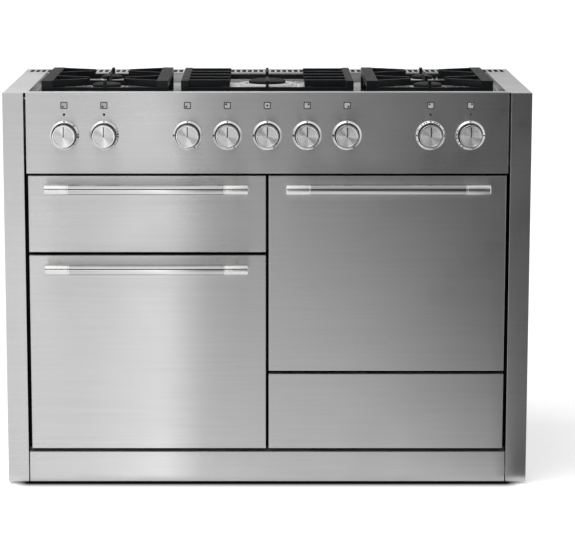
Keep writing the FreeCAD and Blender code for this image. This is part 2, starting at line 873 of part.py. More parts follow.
def make_burner_heads():
    heads = []
    for name, (x, depth, radius, valve) in BURNERS.items():
        stem = [("0", "-burner_stem_depth"), ("burner_stem_radius", "-burner_stem_depth"),
                ("burner_stem_radius", "0")]
        if name == "centre":
            rim = "wok_dish_radius - wok_dish_wall"
            skirt = [("wok_dish_radius", "0"), ("wok_dish_radius", "wok_dish_height"),
                     (rim, "wok_dish_height"), (rim, "wok_dish_floor"), (radius, "wok_dish_floor")]
            crown = [(radius, "head_height"), ("0", "head_height")]
        else:
            inner = f"{radius} - head_crown_inset"
            skirt = [(radius, "0"), (radius, "head_skirt"), (inner, "head_skirt")]
            crown = [(inner, "head_height"), ("0", "head_height")]
        heads.append(turned(stem + skirt + crown, (x, f"front + {depth}", "deck_level"), "z"))
    node("burner_heads", together(*heads))


def make_burner_caps():
    caps = []
    for name, (x, depth, radius, valve) in BURNERS.items():
        edge = "wok_cap_radius" if name == "centre" else f"{radius} - head_crown_inset - cap_inset"
        height = "wok_cap_height" if name == "centre" else "cap_height"
        section = [
            ("0", "0"),
            (edge, "0"),
            (edge, f"{height} - cap_chamfer"),
            (f"{edge} - cap_chamfer", height),
            ("0", height),
        ]
        caps.append(turned(section, (x, f"front + {depth}", "deck_level + head_height"), "z"))
    node("burner_caps", together(*caps))


def make_igniters():
    igniters = []
    for name, (x, depth, radius, valve) in BURNERS.items():
        edge = "wok_head_radius" if name == "centre" else radius
        base = "deck_level + wok_dish_floor" if name == "centre" else "deck_level"
        foot = (f"{x} + {edge} + igniter_gap", f"front + {depth}", base)
        sleeve = rod("z", foot, "igniter_height", "igniter_radius")
        tip = rod("z", foot, "igniter_height + igniter_tip", "igniter_tip_radius")
        igniters.append(fuse(sleeve, tip))
    node("igniters", together(*igniters))


def slanted_bar(start, end, width, z):
    """A straight bar in plan from start to end, where end lies further back than start."""
    run = f"({end[0]} - ({start[0]}))"
    rise = f"({end[1]} - ({start[1]}))"
    length = f"hypot({run}; {rise})"
    item = box(("0", length), ("0", width), z)
    bind(item, "Placement.Rotation.Angle", f"atan2({rise}; {run})")
    bind(item, "Placement.Base.x", f"{start[0]} + {rise} / {length} * {width} / 2")
    bind(item, "Placement.Base.y", f"{start[1]} - {run} / {length} * {width} / 2")
    return item


def make_side_support(label, centre):
    """Cast grid over the two burners of one side, with fingers towards each burner."""
    x = around(centre, "support_half_width")
    y = ("front + support_front", "front + support_rear")
    rail_z = ("support_top - support_rail_height", "support_top")
    low_z = ("low_bar_bottom", "low_bar_top")
    finger_z = ("support_top - finger_height", "support_top")
    low_x = (x[0], f"{x[0]} + support_rail_width")
    high_x = (f"{x[1]} - support_rail_width", x[1])
    pieces = [box(span, y, rail_z) for span in (low_x, high_x)]
    middle = "front + (front_burner_depth + rear_burner_depth) / 2"
    bars = [
        (y[0], f"{y[0]} + low_bar_width"),
        around(middle, "low_bar_width / 2"),
        (f"{y[1]} - low_bar_width", y[1]),
    ]
    pieces += [box(x, bar, low_z) for bar in bars]
    leg_z = ("deck_level", "support_top - support_rail_height")
    pieces += [box(span, bar, leg_z) for span in (low_x, high_x) for bar in (bars[0], bars[2])]
    pieces += [box(span, bars[1], ("low_bar_bottom", "support_top")) for span in (low_x, high_x)]
    spine_x = around(centre, "spine_width / 2")
    spine_z = ("low_bar_bottom", "support_top")
    for depth, near_bar, far_bar in (("front_burner_depth", bars[0][0], middle),
                                     ("rear_burner_depth", middle, bars[2][1])):
        burner_y = f"front + {depth}"
        pieces.append(box(spine_x, (near_bar, f"{burner_y} - finger_tip_reach"), spine_z))
        pieces.append(box(spine_x, (f"{burner_y} + finger_tip_reach", far_bar), spine_z))
        root = "(support_half_width - finger_bury)"
        reach = f"finger_tip_reach / hypot({root}; finger_root_offset)"
        for side in (-1, 1):
            root_x = f"{centre} + {side} * {root}"
            tip_x = f"{centre} + {side} * {root} * {reach}"
            tip_offset = f"finger_root_offset * {reach}"
            near_root = (root_x, f"{burner_y} - finger_root_offset")
            far_root = (root_x, f"{burner_y} + finger_root_offset")
            near_tip = (tip_x, f"{burner_y} - {tip_offset}")
            far_tip = (tip_x, f"{burner_y} + {tip_offset}")
            pieces.append(slanted_bar(near_root, near_tip, "finger_width", finger_z))
            pieces.append(slanted_bar(far_tip, far_root, "finger_width", finger_z))
    node(label, fuse(*pieces))


def make_centre_support():
    """Cast grid over the middle burner, with parallel blades from both side rails."""
    y = ("front + centre_support_front", "front + centre_support_rear")
    low_z = ("low_bar_bottom", "low_bar_top")
    blade_z = ("support_top - blade_height", "support_top")
    end_bars = [(y[0], f"{y[0]} + low_bar_width"), (f"{y[1]} - low_bar_width", y[1])]
    x = ("-centre_support_half_width", "centre_support_half_width")
    pieces = [box(x, bar, low_z) for bar in end_bars]
    for side in (-1, 1):
        rail_inner = "centre_support_half_width - centre_rail_width"
        rail_x = mirrored((rail_inner, "centre_support_half_width"), side)
        pieces.append(box(rail_x, y, blade_z))
        pieces += [box(rail_x, bar, ("deck_level", "support_top")) for bar in end_bars]
        bar_start = "blade_inner + blade_bar_setback"
        pieces.append(box(mirrored((bar_start, f"{bar_start} + low_bar_width"), side), y, low_z))
        for step in range(SIZES["blade_count"]):
            offset = f"({step} - (blade_count - 1) / 2) * blade_pitch"
            blade_x = mirrored(("blade_inner", "centre_support_half_width"), side)
            blade_y = around(f"front + wok_burner_depth + {offset}", "blade_width / 2")
            pieces.append(box(blade_x, blade_y, blade_z))
    spine_x = around("0", "spine_width / 2")
    pieces.append(box(spine_x, (y[0], "front + wok_burner_depth - wok_spine_reach"), blade_z))
    pieces.append(box(spine_x, ("front + wok_burner_depth + wok_spine_reach", y[1]), blade_z))
    node("centre_pan_support", fuse(*pieces))


# Doors

def front_panel(name):
    """A folded tray that faces forward, with a flange all round its back."""
    x, z = FRONTS[name]
    body = new_body("panel_sheet")
    block = pad(body, outline(body, "XZ_Plane", rectangle(x, z)), "panel_thickness", back=True)
    round_edges(body, block, "panel_edge_round",
                lambda edge: all(near(vertex.Point.y, 0) for vertex in edge.Vertexes))
    put(body, "0", "front", "0")
    low_flange = "panel_flange" if name == "drawer_front" else "panel_low_flange"
    hollow = box(inset(x, "sheet"), ("front + sheet", "front + panel_thickness - sheet"), inset(z, "sheet"))
    window = box(inset(x, "panel_flange"), ("front + sheet", "front + panel_thickness + overrun"),
                 inset(z, low_flange, "panel_flange"))
    return cut(body, fuse(hollow, window))


def hinge_places(name):
    """Each hinge lug's span across, and the span of the door's boss beside it, on the outer side."""
    (low, high), z = FRONTS[name]
    lug_left = (f"{low} + hinge_inset", f"{low} + hinge_inset + hinge_lug_width")
    boss_left = (f"{lug_left[0]} - hinge_boss_gap - hinge_boss_width", f"{lug_left[0]} - hinge_boss_gap")
    lug_right = (f"{high} - hinge_inset - hinge_lug_width", f"{high} - hinge_inset")
    boss_right = (f"{lug_right[1]} + hinge_boss_gap", f"{lug_right[1]} + hinge_boss_gap + hinge_boss_width")
    return [(lug_left, boss_left), (lug_right, boss_right)]


def make_door_panel(name):
    z = FRONTS[name][1]
    pivot_y = "front + hinge_depth"
    pivot_z = f"{z[0]} + hinge_height"
    bosses = []
    gaps = []
    for lug, boss in hinge_places(name):
        bosses.append(box(boss, ("front + sheet", "front + panel_thickness"),
                          (f"{z[0]} + sheet", f"{pivot_z} + hinge_boss_rise")))
        room = "hinge_lug_radius + hinge_notch_clearance"
        gaps.append(box(inset(lug, "-hinge_notch_clearance / 2"),
                        (f"{pivot_y} - ({room})", "front + panel_thickness + overrun"),
                        (f"{z[0]} - overrun", f"{pivot_z} + {room}")))
        gaps.append(rod("x", (f"{boss[0]} - overrun", pivot_y, pivot_z), "hinge_boss_width + 2 * overrun",
                        "hinge_pin_radius + running_clearance"))
    node(f"{name}_panel", cut(fuse(front_panel(name), *bosses), *gaps))


def liner_spans(name):
    x, z = FRONTS[name]
    return inset(x, "liner_edge"), inset(z, "liner_start", "liner_edge")


def make_door_liner(name):
    x, z = liner_spans(name)
    node(f"{name}_liner", shell(x, ("front + panel_thickness", "front + panel_thickness + liner_depth"), z,
                                "sheet", "-y"))


def make_handle(name):
    """A bar between two end caps, each on a post that stands on the door."""
    x, z = FRONTS[name]
    centre = f"({x[0]} + {x[1]}) / 2"
    level = f"{z[1]} - handle_drop"
    axis_y = "front - handle_standoff"
    section = [
        ("0", "0"),
        ("handle_cap_radius - handle_cap_chamfer", "0"),
        ("handle_cap_radius", "handle_cap_chamfer"),
        ("handle_cap_radius", "handle_cap_length"),
        ("0", "handle_cap_length"),
    ]
    ends = []
    for side in (-1, 1):
        cap = turned(section, (f"{centre} + {side} * handle_length / 2", axis_y, level), "x")
        if side > 0:
            cap.Placement.Rotation = Rotation(Vector(0, 1, 0), -90)
        post_x = f"{centre} + {side} * (handle_length - handle_cap_length) / 2"
        post = rod("y", (post_x, axis_y, level), "handle_standoff", "handle_post_radius")
        foot = rod("y", (post_x, "front - handle_foot", level), "handle_foot", "handle_foot_radius")
        ends.append(fuse(cap, post, foot))
    bar = rod("x", (f"{centre} - handle_length / 2 + handle_cap_length", axis_y, level),
              "handle_length - 2 * handle_cap_length", "handle_bar_radius")
    node(f"{name}_handle", together(bar, *ends))


def make_door_hinges():
    """Lugs on the front frame carry the pins that the doors turn on."""
    lugs = []
    for name in DOORS:
        pivot_y = "front + hinge_depth"
        pivot_z = f"{FRONTS[name][1][0]} + hinge_height"
        for lug, boss in hinge_places(name):
            arm = box(lug, (pivot_y, "frame_face"), around(pivot_z, "hinge_lug_radius"))
            nose = rod("x", (lug[0], pivot_y, pivot_z), "hinge_lug_width", "hinge_lug_radius")
            pin_length = "hinge_lug_width + hinge_boss_gap + hinge_boss_width"
            outer_start = boss[0] if hinge_places(name)[0] == (lug, boss) else lug[0]
            pin = rod("x", (outer_start, pivot_y, pivot_z), pin_length, "hinge_pin_radius")
            lugs.append(fuse(arm, nose, pin))
    node("door_hinge_brackets", together(*lugs))


def make_door_seals():
    seals = []
    for name in DOORS:
        x, z = liner_spans(name)
        y = ("front + panel_thickness + liner_depth + seat_clearance", "frame_face")
        seals.append(ring(inset(x, "seal_inset"), y, inset(z, "seal_inset"), "seal_width"))
    node("door_seals", together(*seals))


# Cavities and what they hold

def cavity(name, depth):
    """An enamelled box behind a door, with a flange that lies on the back of the front frame."""
    x, z = aperture(name)
    outer_x = inset(x, "-sheet")
    outer_z = inset(z, "-sheet")
    liner = shell(outer_x, ("frame_back", f"frame_back + {depth} + sheet"), outer_z, "sheet", "-y")
    flange = ring(inset(x, "-cavity_flange"), ("frame_back", "frame_back + sheet"),
                  inset(z, "-cavity_flange"), "cavity_flange")
    return x, z, fuse(liner, flange)


def make_grill_cavity():
    x, z, casing = cavity("grill_door", "grill_depth")
    top = f"{z[0]} + grill_ledge_rise"
    ledge_z = (f"{top} - sheet", top)
    ledges = [
        box((x[0], f"{x[0]} + grill_ledge_width"), ("frame_back", "grill_rear"), ledge_z),
        box((f"{x[1]} - grill_ledge_width", x[1]), ("frame_back", "grill_rear"), ledge_z),
    ]
    node("grill_cavity", fuse(casing, *ledges))


def make_grill_pan():
    """A tray whose rim lies on the ledges of the grill cavity."""
    x, z = aperture("grill_door")
    pan_x = inset(x, "grill_ledge_width + grill_pan_side_gap")
    pan_y = ("frame_back + grill_pan_front_gap", "frame_back + grill_pan_front_gap + grill_pan_length")
    rim = f"{z[0]} + grill_ledge_rise"
    tray = shell(pan_x, pan_y, (f"{rim} - grill_pan_height", f"{rim} + sheet"), "sheet", "+z")
    lip_low = box((f"{pan_x[0]} - grill_pan_side_gap - grill_pan_rim", f"{pan_x[0]} + sheet"), pan_y,
                  (rim, f"{rim} + sheet"))
    lip_high = box((f"{pan_x[1]} - sheet", f"{pan_x[1]} + grill_pan_side_gap + grill_pan_rim"), pan_y,
                   (rim, f"{rim} + sheet"))
    node("grill_pan", fuse(tray, lip_low, lip_high))


def fan_centre(name):
    x, z = aperture(name)
    return f"({x[0]} + {x[1]}) / 2", f"({z[0]} + {z[1]}) / 2"


def make_oven_cavity(label, name):
    x, z, casing = cavity(name, "oven_depth")
    centre_x, centre_z = fan_centre(name)
    start = (centre_x, "oven_rear - overrun", centre_z)
    hole = rod("y", start, "sheet + 2 * overrun", "fan_shaft_hole_radius")
    node(label, cut(casing, hole))


def make_fan_parts():
    """A motor behind each oven and a slotted cover inside it, with the impellers between them."""
    covers = []
    motors = []
    for name in ("left_oven_door", "right_oven_door"):
        x, z = fan_centre(name)
        cover_x = around(x, "fan_cover_width / 2")
        cover_y = ("oven_rear - fan_cover_depth", "oven_rear")
        cover = shell(cover_x, cover_y, around(z, "fan_cover_height / 2"), "sheet", "+y")
        face_y = (f"{cover_y[0]} - overrun", f"{cover_y[0]} + sheet + overrun")
        slots = []
        for step in range(SIZES["fan_slot_count"]):
            level = f"{z} + ({step} - (fan_slot_count - 1) / 2) * fan_slot_pitch"
            slots.append(box(around(x, "fan_slot_length / 2"), face_y, around(level, "fan_slot_height / 2")))
        outlet_x = inset(cover_x, "-overrun")
        outlet_y = around("oven_rear - fan_cover_depth / 2", "fan_outlet_width / 2")
        slots.append(box(outlet_x, outlet_y, around(z, "fan_outlet_length / 2")))
        covers.append(cut(cover, *slots))
        rear_wall = "oven_rear + sheet"
        plate = box(around(x, "motor_plate_side / 2"), (rear_wall, f"{rear_wall} + motor_plate"),
                    around(z, "motor_plate_side / 2"))
        case = rod("y", (x, rear_wall, z), "motor_plate + motor_length", "motor_radius")
        shaft = rod("y", (x, "oven_rear - fan_shaft_reach", z), "fan_shaft_reach + sheet + motor_plate",
                    "fan_shaft_radius")
        motors.append(fuse(plate, case, shaft))
    node("fan_covers", together(*covers))
    node("fan_motors", together(*motors))


def make_impeller(label, name):
    """A disc with blades on a hub that runs on the motor's shaft."""
    x, z = fan_centre(name)
    rear = "oven_rear - impeller_stand"
    hub = rod("y", (x, f"{rear} - impeller_hub_length", z), "impeller_hub_length", "impeller_hub_radius")
    disc = rod("y", (x, f"{rear} - impeller_disc", z), "impeller_disc", "impeller_radius")
    blades = []
    for step in range(SIZES["impeller_blade_count"]):
        body = new_body("blade")
        reach = ("impeller_radius - impeller_blade_length", "impeller_radius")
        blade = outline(body, "XZ_Plane", rectangle(reach, ("0", "impeller_disc")))
        pad(body, blade, "impeller_blade_height + impeller_disc")
        put(body, x, rear, z)
        body.Placement.Rotation = Rotation(Vector(0, 1, 0), 360 / SIZES["impeller_blade_count"] * step)
        blades.append(body)
    bore = rod("y", (x, "oven_rear - fan_shaft_reach - running_clearance", z),
               "fan_shaft_reach", "fan_shaft_radius + running_clearance")
    node(label, cut(fuse(hub, disc, *blades), bore))


def ladder_side(x, z_span, side_x):
    """Two uprights beside a cavity wall, with a rung at each level."""
    y = ("frame_back + ladder_front_gap", "frame_back + ladder_front_gap + ladder_length")
    height = f"({z_span[1]} - ({z_span[0]}) - 2 * ladder_end_gap)"
    foot = f"{z_span[0]} + ladder_end_gap"
    pieces = [rod("z", (side_x, end, foot), height, "ladder_rod_radius") for end in y]
    for share in LADDER_LEVEL_SHARES:
        pieces.append(rod("y", (side_x, y[0], rung_level(z_span, share)), "ladder_length", "rung_radius"))
    return fuse(*pieces)


def rung_level(z_span, share):
    return f"{z_span[0]} + {share} * ({z_span[1]} - ({z_span[0]}))"


def shelf(x, z):
    """A wire shelf: a front and a rear rod, two side rods and thin wires between them."""
    y = ("frame_back + ladder_front_gap + shelf_end_gap",
         "frame_back + ladder_front_gap + ladder_length - shelf_end_gap")
    width = f"({x[1]} - ({x[0]}))"
    depth = f"({y[1]} - ({y[0]}))"
    pieces = [rod("x", (x[0], end, z), width, "shelf_frame_radius") for end in y]
    pieces += [rod("y", (end, y[0], z), depth, "shelf_side_radius") for end in x]
    pieces += [ball((across, end, z), "shelf_frame_radius") for across in x for end in y]
    for step in range(1, SIZES["shelf_wire_count"] + 1):
        wire_x = f"{x[0]} + {step} * {width} / (shelf_wire_count + 1)"
        pieces.append(rod("y", (wire_x, y[0], z), depth, "shelf_wire_radius"))
    return fuse(*pieces)


def make_oven_racks():
    racks = []
    for name in ("left_oven_door", "right_oven_door"):
        x, z = aperture(name)
        ladder_x = inset(x, "ladder_rod_radius + seat_clearance")
        racks += [ladder_side(x, z, side_x) for side_x in ladder_x]
        for index in SHELF_LEVELS:
            level = f"{rung_level(z, LADDER_LEVEL_SHARES[index])} + rung_radius + seat_clearance"
            racks.append(shelf(ladder_x, f"{level} + shelf_frame_radius"))
    node("oven_racks", together(*racks))


def make_heating_elements():
    """A serpentine under the grill's roof and an open ring round each fan, with its ends held in sleeves."""
    x, z = aperture("grill_door")
    level = f"{z[1]} - grill_element_drop"
    left = f"{x[0]} + grill_element_side_gap"
    span = f"({x[1]} - ({x[0]}) - 2 * grill_element_side_gap)"
    front_end = "frame_back + grill_element_front_gap"
    rear_end = "grill_rear - grill_element_rear_gap"
    runs = [f"{left} + {step} * {span} / (grill_element_runs - 1)"
            for step in range(SIZES["grill_element_runs"])]
    route = [(runs[0], "grill_rear", level)]
    for index, run in enumerate(runs):
        at_front = (run, front_end, level)
        at_rear = (run, rear_end, level)
        if index == 0:
            route.append(at_front)
        elif index == len(runs) - 1:
            route += [at_front, (run, "grill_rear", level)]
        else:
            route += [at_front, at_rear] if index % 2 else [at_rear, at_front]
    elements = [pipe(route, "grill_element_radius")]
    for name in ("left_oven_door", "right_oven_door"):
        centre_x, centre_z = fan_centre(name)
        loop_y = "oven_rear - ring_element_stand"
        half_gap = math.degrees(math.asin(value_of("ring_lead_spacing / 2 / ring_element_radius")))
        loop = doc.addObject("Part::Torus", "loop")
        bind(loop, "Radius1", "ring_element_radius")
        bind(loop, "Radius2", "ring_element_rod_radius")
        loop.Angle3 = 360 - 2 * half_gap
        put(loop, centre_x, loop_y, centre_z)
        loop.Placement.Rotation = TURNS["y"].multiply(Rotation(Vector(0, 0, 1), 90 + half_gap))
        drop = "sqrt(ring_element_radius ^ 2 - (ring_lead_spacing / 2) ^ 2)"
        sleeves = []
        for side in (-1, 1):
            sleeve_x = f"{centre_x} + {side} * ring_lead_spacing / 2"
            start = (sleeve_x, f"{loop_y} - ring_sleeve_radius", f"{centre_z} - {drop}")
            sleeves.append(rod("y", start, "ring_element_stand + ring_sleeve_radius", "ring_sleeve_radius"))
        elements.append(fuse(loop, *sleeves))
    node("heating_elements", together(*elements))


# Drawer

def runner_span(side, near_part, far_part):
    """A span across one runner, counted outwards from the middle of the drawer."""
    low, high = mirrored((near_part, far_part), side)
    return f"drawer_centre + {low}", f"drawer_centre + {high}"


def channel(side, outer, depth, y, half_height):
    """A channel that opens towards the drawer."""
    web = box(runner_span(side, f"{outer} - sheet", outer), y, around("runner_centre", half_height))
    lips = [box(runner_span(side, f"{outer} - ({depth})", outer), y,
                (f"runner_centre + {half_height} - sheet", f"runner_centre + {half_height}")),
            box(runner_span(side, f"{outer} - ({depth})", outer), y,
                (f"runner_centre - ({half_height})", f"runner_centre - ({half_height}) + sheet"))]
    return [web] + lips


MIDDLE_HALF = "(runner_height / 2 - sheet - runner_clearance)"
RAIL_HALF = "(runner_height / 2 - 2 * sheet - 2 * runner_clearance)"


def make_drawer_runners():
    fixed = []
    middle = []
    for side in (-1, 1):
        y = ("frame_back", "frame_back + runner_length")
        ear = box(runner_span(side, "runner_outer - sheet", "runner_outer + runner_ear"),
                  ("frame_back", "frame_back + sheet"), around("runner_centre", "runner_height / 2"))
        leg = box(runner_span(side, "runner_outer - sheet", "runner_outer"),
                  (f"{y[1]} - runner_leg_length", y[1]), ("base_top", "runner_centre"))
        outer_channel = channel(side, "runner_outer", "runner_depth", y, "(runner_height / 2)")
        fixed.append(fuse(ear, leg, *outer_channel))
        middle_y = ("frame_back + runner_start_gap", "frame_back + runner_start_gap + runner_middle_length")
        middle.append(fuse(*channel(side, "(runner_outer - sheet - runner_clearance)",
                                    "runner_depth - sheet - runner_clearance", middle_y, MIDDLE_HALF)))
    node("drawer_runners_fixed", together(*fixed))
    node("drawer_runners_middle", together(*middle))


def make_drawer_box():
    x = around("drawer_centre", "drawer_box_half")
    y = ("front + panel_thickness", "front + panel_thickness + drawer_length")
    tray = shell(x, y, ("drawer_bottom", "drawer_bottom + drawer_height"), "sheet", "+z")
    rails = []
    for side in (-1, 1):
        rail_x = runner_span(side, "drawer_box_half", "(runner_outer - 2 * sheet - 2 * runner_clearance)")
        rail_y = ("frame_back + runner_start_gap", "frame_back + runner_start_gap + runner_middle_length")
        rails.append(box(rail_x, rail_y, around("runner_centre", RAIL_HALF)))
    node("drawer_box", fuse(tray, *rails))


# Electrical supply

def make_terminal_box():
    """A cover on the inside of the back panel, with the terminal block in it."""
    y = ("back - sheet - terminal_box_depth", "back - sheet")
    cover = shell(around("-terminal_box_place", "terminal_box_width / 2"), y,
                  around("terminal_box_level", "terminal_box_height / 2"), "sheet", "+y")
    block = box(around("-terminal_box_place", "terminal_block_width / 2"),
                (f"{y[0]} + sheet", f"{y[0]} + sheet + terminal_block_depth"),
                around("terminal_box_level", "terminal_block_height / 2"))
    node("terminal_box", together(cover, block))


def check_document():
    """Stop before anything is written if an object failed or a sub-part is no solid."""
    doc.recompute()
    for item in doc.Objects:
        assert not {"Invalid", "Error"} & set(item.State), (item.Label, item.State)
    for item in nodes:
        assert not item.Shape.isNull() and item.Shape.isValid(), item.Label
        assert item.Shape.Solids, item.Label


def write_parts():
    os.makedirs("parts", exist_ok=True)
    for item in nodes:
        item.Shape.exportStep(f"parts/{item.Label}.step")
    print(len(nodes), "sub-parts")


fill_sheet()
make_base_frame()
make_levelling_feet()
make_side_panel("left_side_panel", -1)
make_side_panel("right_side_panel", 1)
make_back_panel()
make_plinth_panel()
make_front_frame()
make_hob_deck()
make_vent_grille()
make_control_fascia()
make_knob_bezels()
make_indicator_lamps()
make_knobs_and_spindles()
make_control_units()
make_gas_pipework()
make_burner_heads()
make_burner_caps()
make_igniters()
make_side_support("left_pan_support", "-side_burner_place")
make_side_support("right_pan_support", "side_burner_place")
make_centre_support()
for door in DOORS:
    make_door_panel(door)
    make_door_liner(door)
    make_handle(door)
make_door_hinges()
make_door_seals()
make_grill_cavity()
make_grill_pan()
make_oven_cavity("left_oven_cavity", "left_oven_door")
make_oven_cavity("right_oven_cavity", "right_oven_door")
make_fan_parts()
make_impeller("left_oven_fan", "left_oven_door")
make_impeller("right_oven_fan", "right_oven_door")
make_oven_racks()
make_heating_elements()
node("drawer_front", front_panel("drawer_front"))
make_drawer_runners()
make_drawer_box()
make_terminal_box()
check_document()
write_parts()
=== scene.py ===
import math

import bmesh
import bpy
from mathutils import Matrix, Vector


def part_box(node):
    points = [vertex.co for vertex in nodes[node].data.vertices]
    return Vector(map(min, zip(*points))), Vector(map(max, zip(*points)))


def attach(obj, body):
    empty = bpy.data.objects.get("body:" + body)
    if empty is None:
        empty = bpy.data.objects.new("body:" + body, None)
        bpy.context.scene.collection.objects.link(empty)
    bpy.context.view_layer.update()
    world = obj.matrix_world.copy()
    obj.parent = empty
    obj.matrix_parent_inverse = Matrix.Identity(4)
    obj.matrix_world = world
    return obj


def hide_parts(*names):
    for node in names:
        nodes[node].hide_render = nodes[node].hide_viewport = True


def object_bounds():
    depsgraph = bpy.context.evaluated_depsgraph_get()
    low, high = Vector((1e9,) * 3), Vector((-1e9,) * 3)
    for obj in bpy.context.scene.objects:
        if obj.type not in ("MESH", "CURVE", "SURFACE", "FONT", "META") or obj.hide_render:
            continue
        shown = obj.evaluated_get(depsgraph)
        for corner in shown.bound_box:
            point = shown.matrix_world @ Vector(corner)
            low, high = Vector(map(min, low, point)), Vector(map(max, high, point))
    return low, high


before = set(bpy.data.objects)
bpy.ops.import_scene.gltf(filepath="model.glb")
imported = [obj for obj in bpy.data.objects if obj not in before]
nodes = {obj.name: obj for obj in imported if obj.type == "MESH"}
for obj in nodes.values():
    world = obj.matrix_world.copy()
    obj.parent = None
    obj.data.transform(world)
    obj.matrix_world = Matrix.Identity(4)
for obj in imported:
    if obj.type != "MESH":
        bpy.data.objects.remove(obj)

# Looks of a dual fuel range cooker, in metres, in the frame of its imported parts

cad_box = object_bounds()

TOWARDS = {
    "x": Matrix(((0, 0, 1), (0, 1, 0), (-1, 0, 0))),
    "-x": Matrix(((0, 0, -1), (0, 1, 0), (1, 0, 0))),
    "y": Matrix(((1, 0, 0), (0, 0, 1), (0, -1, 0))),
    "-y": Matrix(((1, 0, 0), (0, 0, -1), (0, 1, 0))),
    "z": Matrix.Identity(3),
}

FRONT_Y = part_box("left_side_panel")[0].y
BACK_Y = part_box("back_panel")[1].y
DECK_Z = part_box("hob_deck")[1].z


# Node materials

class Shader:
    """A node material that is built up one node at a time."""

    def __init__(self, name, **sockets):
        self.material = bpy.data.materials.new(name)
        self.material.use_nodes = True
        self.tree = self.material.node_tree
        self.surface = self.tree.nodes["Principled BSDF"]
        self.coordinates = self.node("TexCoord").outputs["Object"]
        for socket, value in sockets.items():
            self.feed(self.surface.inputs[socket.replace("_", " ")], value)

    def feed(self, socket, value):
        if isinstance(value, bpy.types.NodeSocket):
            self.tree.links.new(value, socket)
        else:
            socket.default_value = value

    def node(self, kind, inputs=(), **settings):
        made = self.tree.nodes.new("ShaderNode" + kind)
        for name, value in settings.items():
            setattr(made, name, value)
        for name, value in dict(inputs).items():
            self.feed(made.inputs[name], value)
        return made

    def math(self, operation, first, second=0.0):
        return self.node("Math", {0: first, 1: second}, operation=operation).outputs[0]

    def noise(self, scale, detail=3.0, roughness=0.55, stretch=(1, 1, 1), where=None):
        place = self.node("Mapping", {"Vector": where or self.coordinates, "Scale": stretch})
        made = self.node("TexNoise", {"Vector": place.outputs[0], "Scale": scale, "Detail": detail,
                                      "Roughness": roughness})
        return made.outputs["Fac"]

    def span(self, value, low, high, to_low, to_high):
        made = self.node("MapRange", {"Value": value, "From Min": low, "From Max": high,
                                      "To Min": to_low, "To Max": to_high})
        return made.outputs[0]

    def blend(self, share, first, second):
        made = self.node("Mix", data_type="RGBA")
        self.feed(made.inputs[0], share)
        self.feed(made.inputs[6], first)
        self.feed(made.inputs[7], second)
        return made.outputs[2]

    def tint(self, value, dark, light, low=0.3, high=0.7):
        """A colour between dark and light that follows a pattern."""
        return self.blend(self.span(value, low, high, 0, 1), rgb(dark), rgb(light))

    def bump(self, height, distance, strength=1.0, normal=None):
        made = self.node("Bump", {"Height": height, "Distance": distance, "Strength": strength})
        if normal:
            self.feed(made.inputs["Normal"], normal)
        return made.outputs[0]

    def round_normal(self, radius):
        return self.node("Bevel", {"Radius": radius}, samples=6).outputs[0]

    def edges(self, radius):
        """A mask that is bright along the edges."""
        flat = self.node("NewGeometry").outputs["Normal"]
        facing = self.node("VectorMath", {0: self.round_normal(radius), 1: flat}, operation="DOT_PRODUCT")
        return self.span(facing.outputs["Value"], 0.98, 0.8, 0, 1)

    def mix(self, share, first, second):
        made = self.node("Mix", data_type="FLOAT")
        for index, value in enumerate((share, first, second)):
            self.feed(made.inputs[(0, 2, 3)[index]], value)
        return made.outputs[0]

    def faces_along(self, axis):
        """1 where the surface faces along one of the piece's own axes, either way."""
        flat = self.node("NewGeometry").outputs["True Normal"]
        own = self.node("VectorTransform", {"Vector": flat}, vector_type="NORMAL",
                        convert_from="WORLD", convert_to="OBJECT").outputs[0]
        part = self.node("SeparateXYZ", {0: own}).outputs[axis]
        return self.math("GREATER_THAN", self.math("ABSOLUTE", part), 0.7)

    def along(self, direction):
        """A fixed direction of the piece, as it points now."""
        made = self.node("VectorTransform", {"Vector": direction}, vector_type="VECTOR",
                         convert_from="OBJECT", convert_to="WORLD")
        return made.outputs[0]

    def set(self, **sockets):
        for socket, value in sockets.items():
            self.feed(self.surface.inputs[socket.replace("_", " ")], value)
        return self.material


def rgb(value):
    """A colour from one grey or three shares."""
    parts = (value,) * 3 if isinstance(value, (int, float)) else tuple(value)
    return (*parts, 1.0)


def brushed_steel(name, grey, roughness, anisotropy):
    """Sheet steel whose fine grain runs sideways on the front and the top, and backwards on the flanks."""
    shader = Shader(name, Metallic=1.0, Anisotropic=anisotropy)
    flank = shader.faces_along(0)
    top = shader.faces_along(2)
    fine = shader.mix(flank, shader.noise(9.0, 6.0, 0.7, (4, 400, 400)),
                      shader.noise(9.0, 6.0, 0.7, (400, 4, 400)))
    broad = shader.mix(flank, shader.noise(1.6, 3.0, 0.6, (2, 90, 90)),
                       shader.noise(1.6, 3.0, 0.6, (90, 2, 90)))
    marks = shader.noise(5.0, 4.0, 0.6)
    colour = shader.tint(broad, grey * 0.97, grey * 1.03)
    # Painted highlight: the colour is lighter along the edges, for the light that the folded edges catch
    colour = shader.blend(shader.math("MULTIPLY", shader.edges(0.0014), 0.8), colour, rgb(grey * 1.5))
    rough = shader.math("ADD", shader.span(fine, 0.3, 0.7, roughness - 0.03, roughness + 0.03),
                        shader.span(marks, 0.35, 0.65, -0.02, 0.03))
    normal = shader.bump(fine, 0.00002, 0.3, shader.round_normal(0.0006))
    across = shader.node("Mix", data_type="VECTOR")
    shader.feed(across.inputs[0], top)
    shader.feed(across.inputs[4], shader.along((0, 0, 1)))
    shader.feed(across.inputs[5], shader.along((0, 1, 0)))
    return shader.set(Base_Color=colour, Roughness=rough, Normal=normal, Tangent=across.outputs[1])


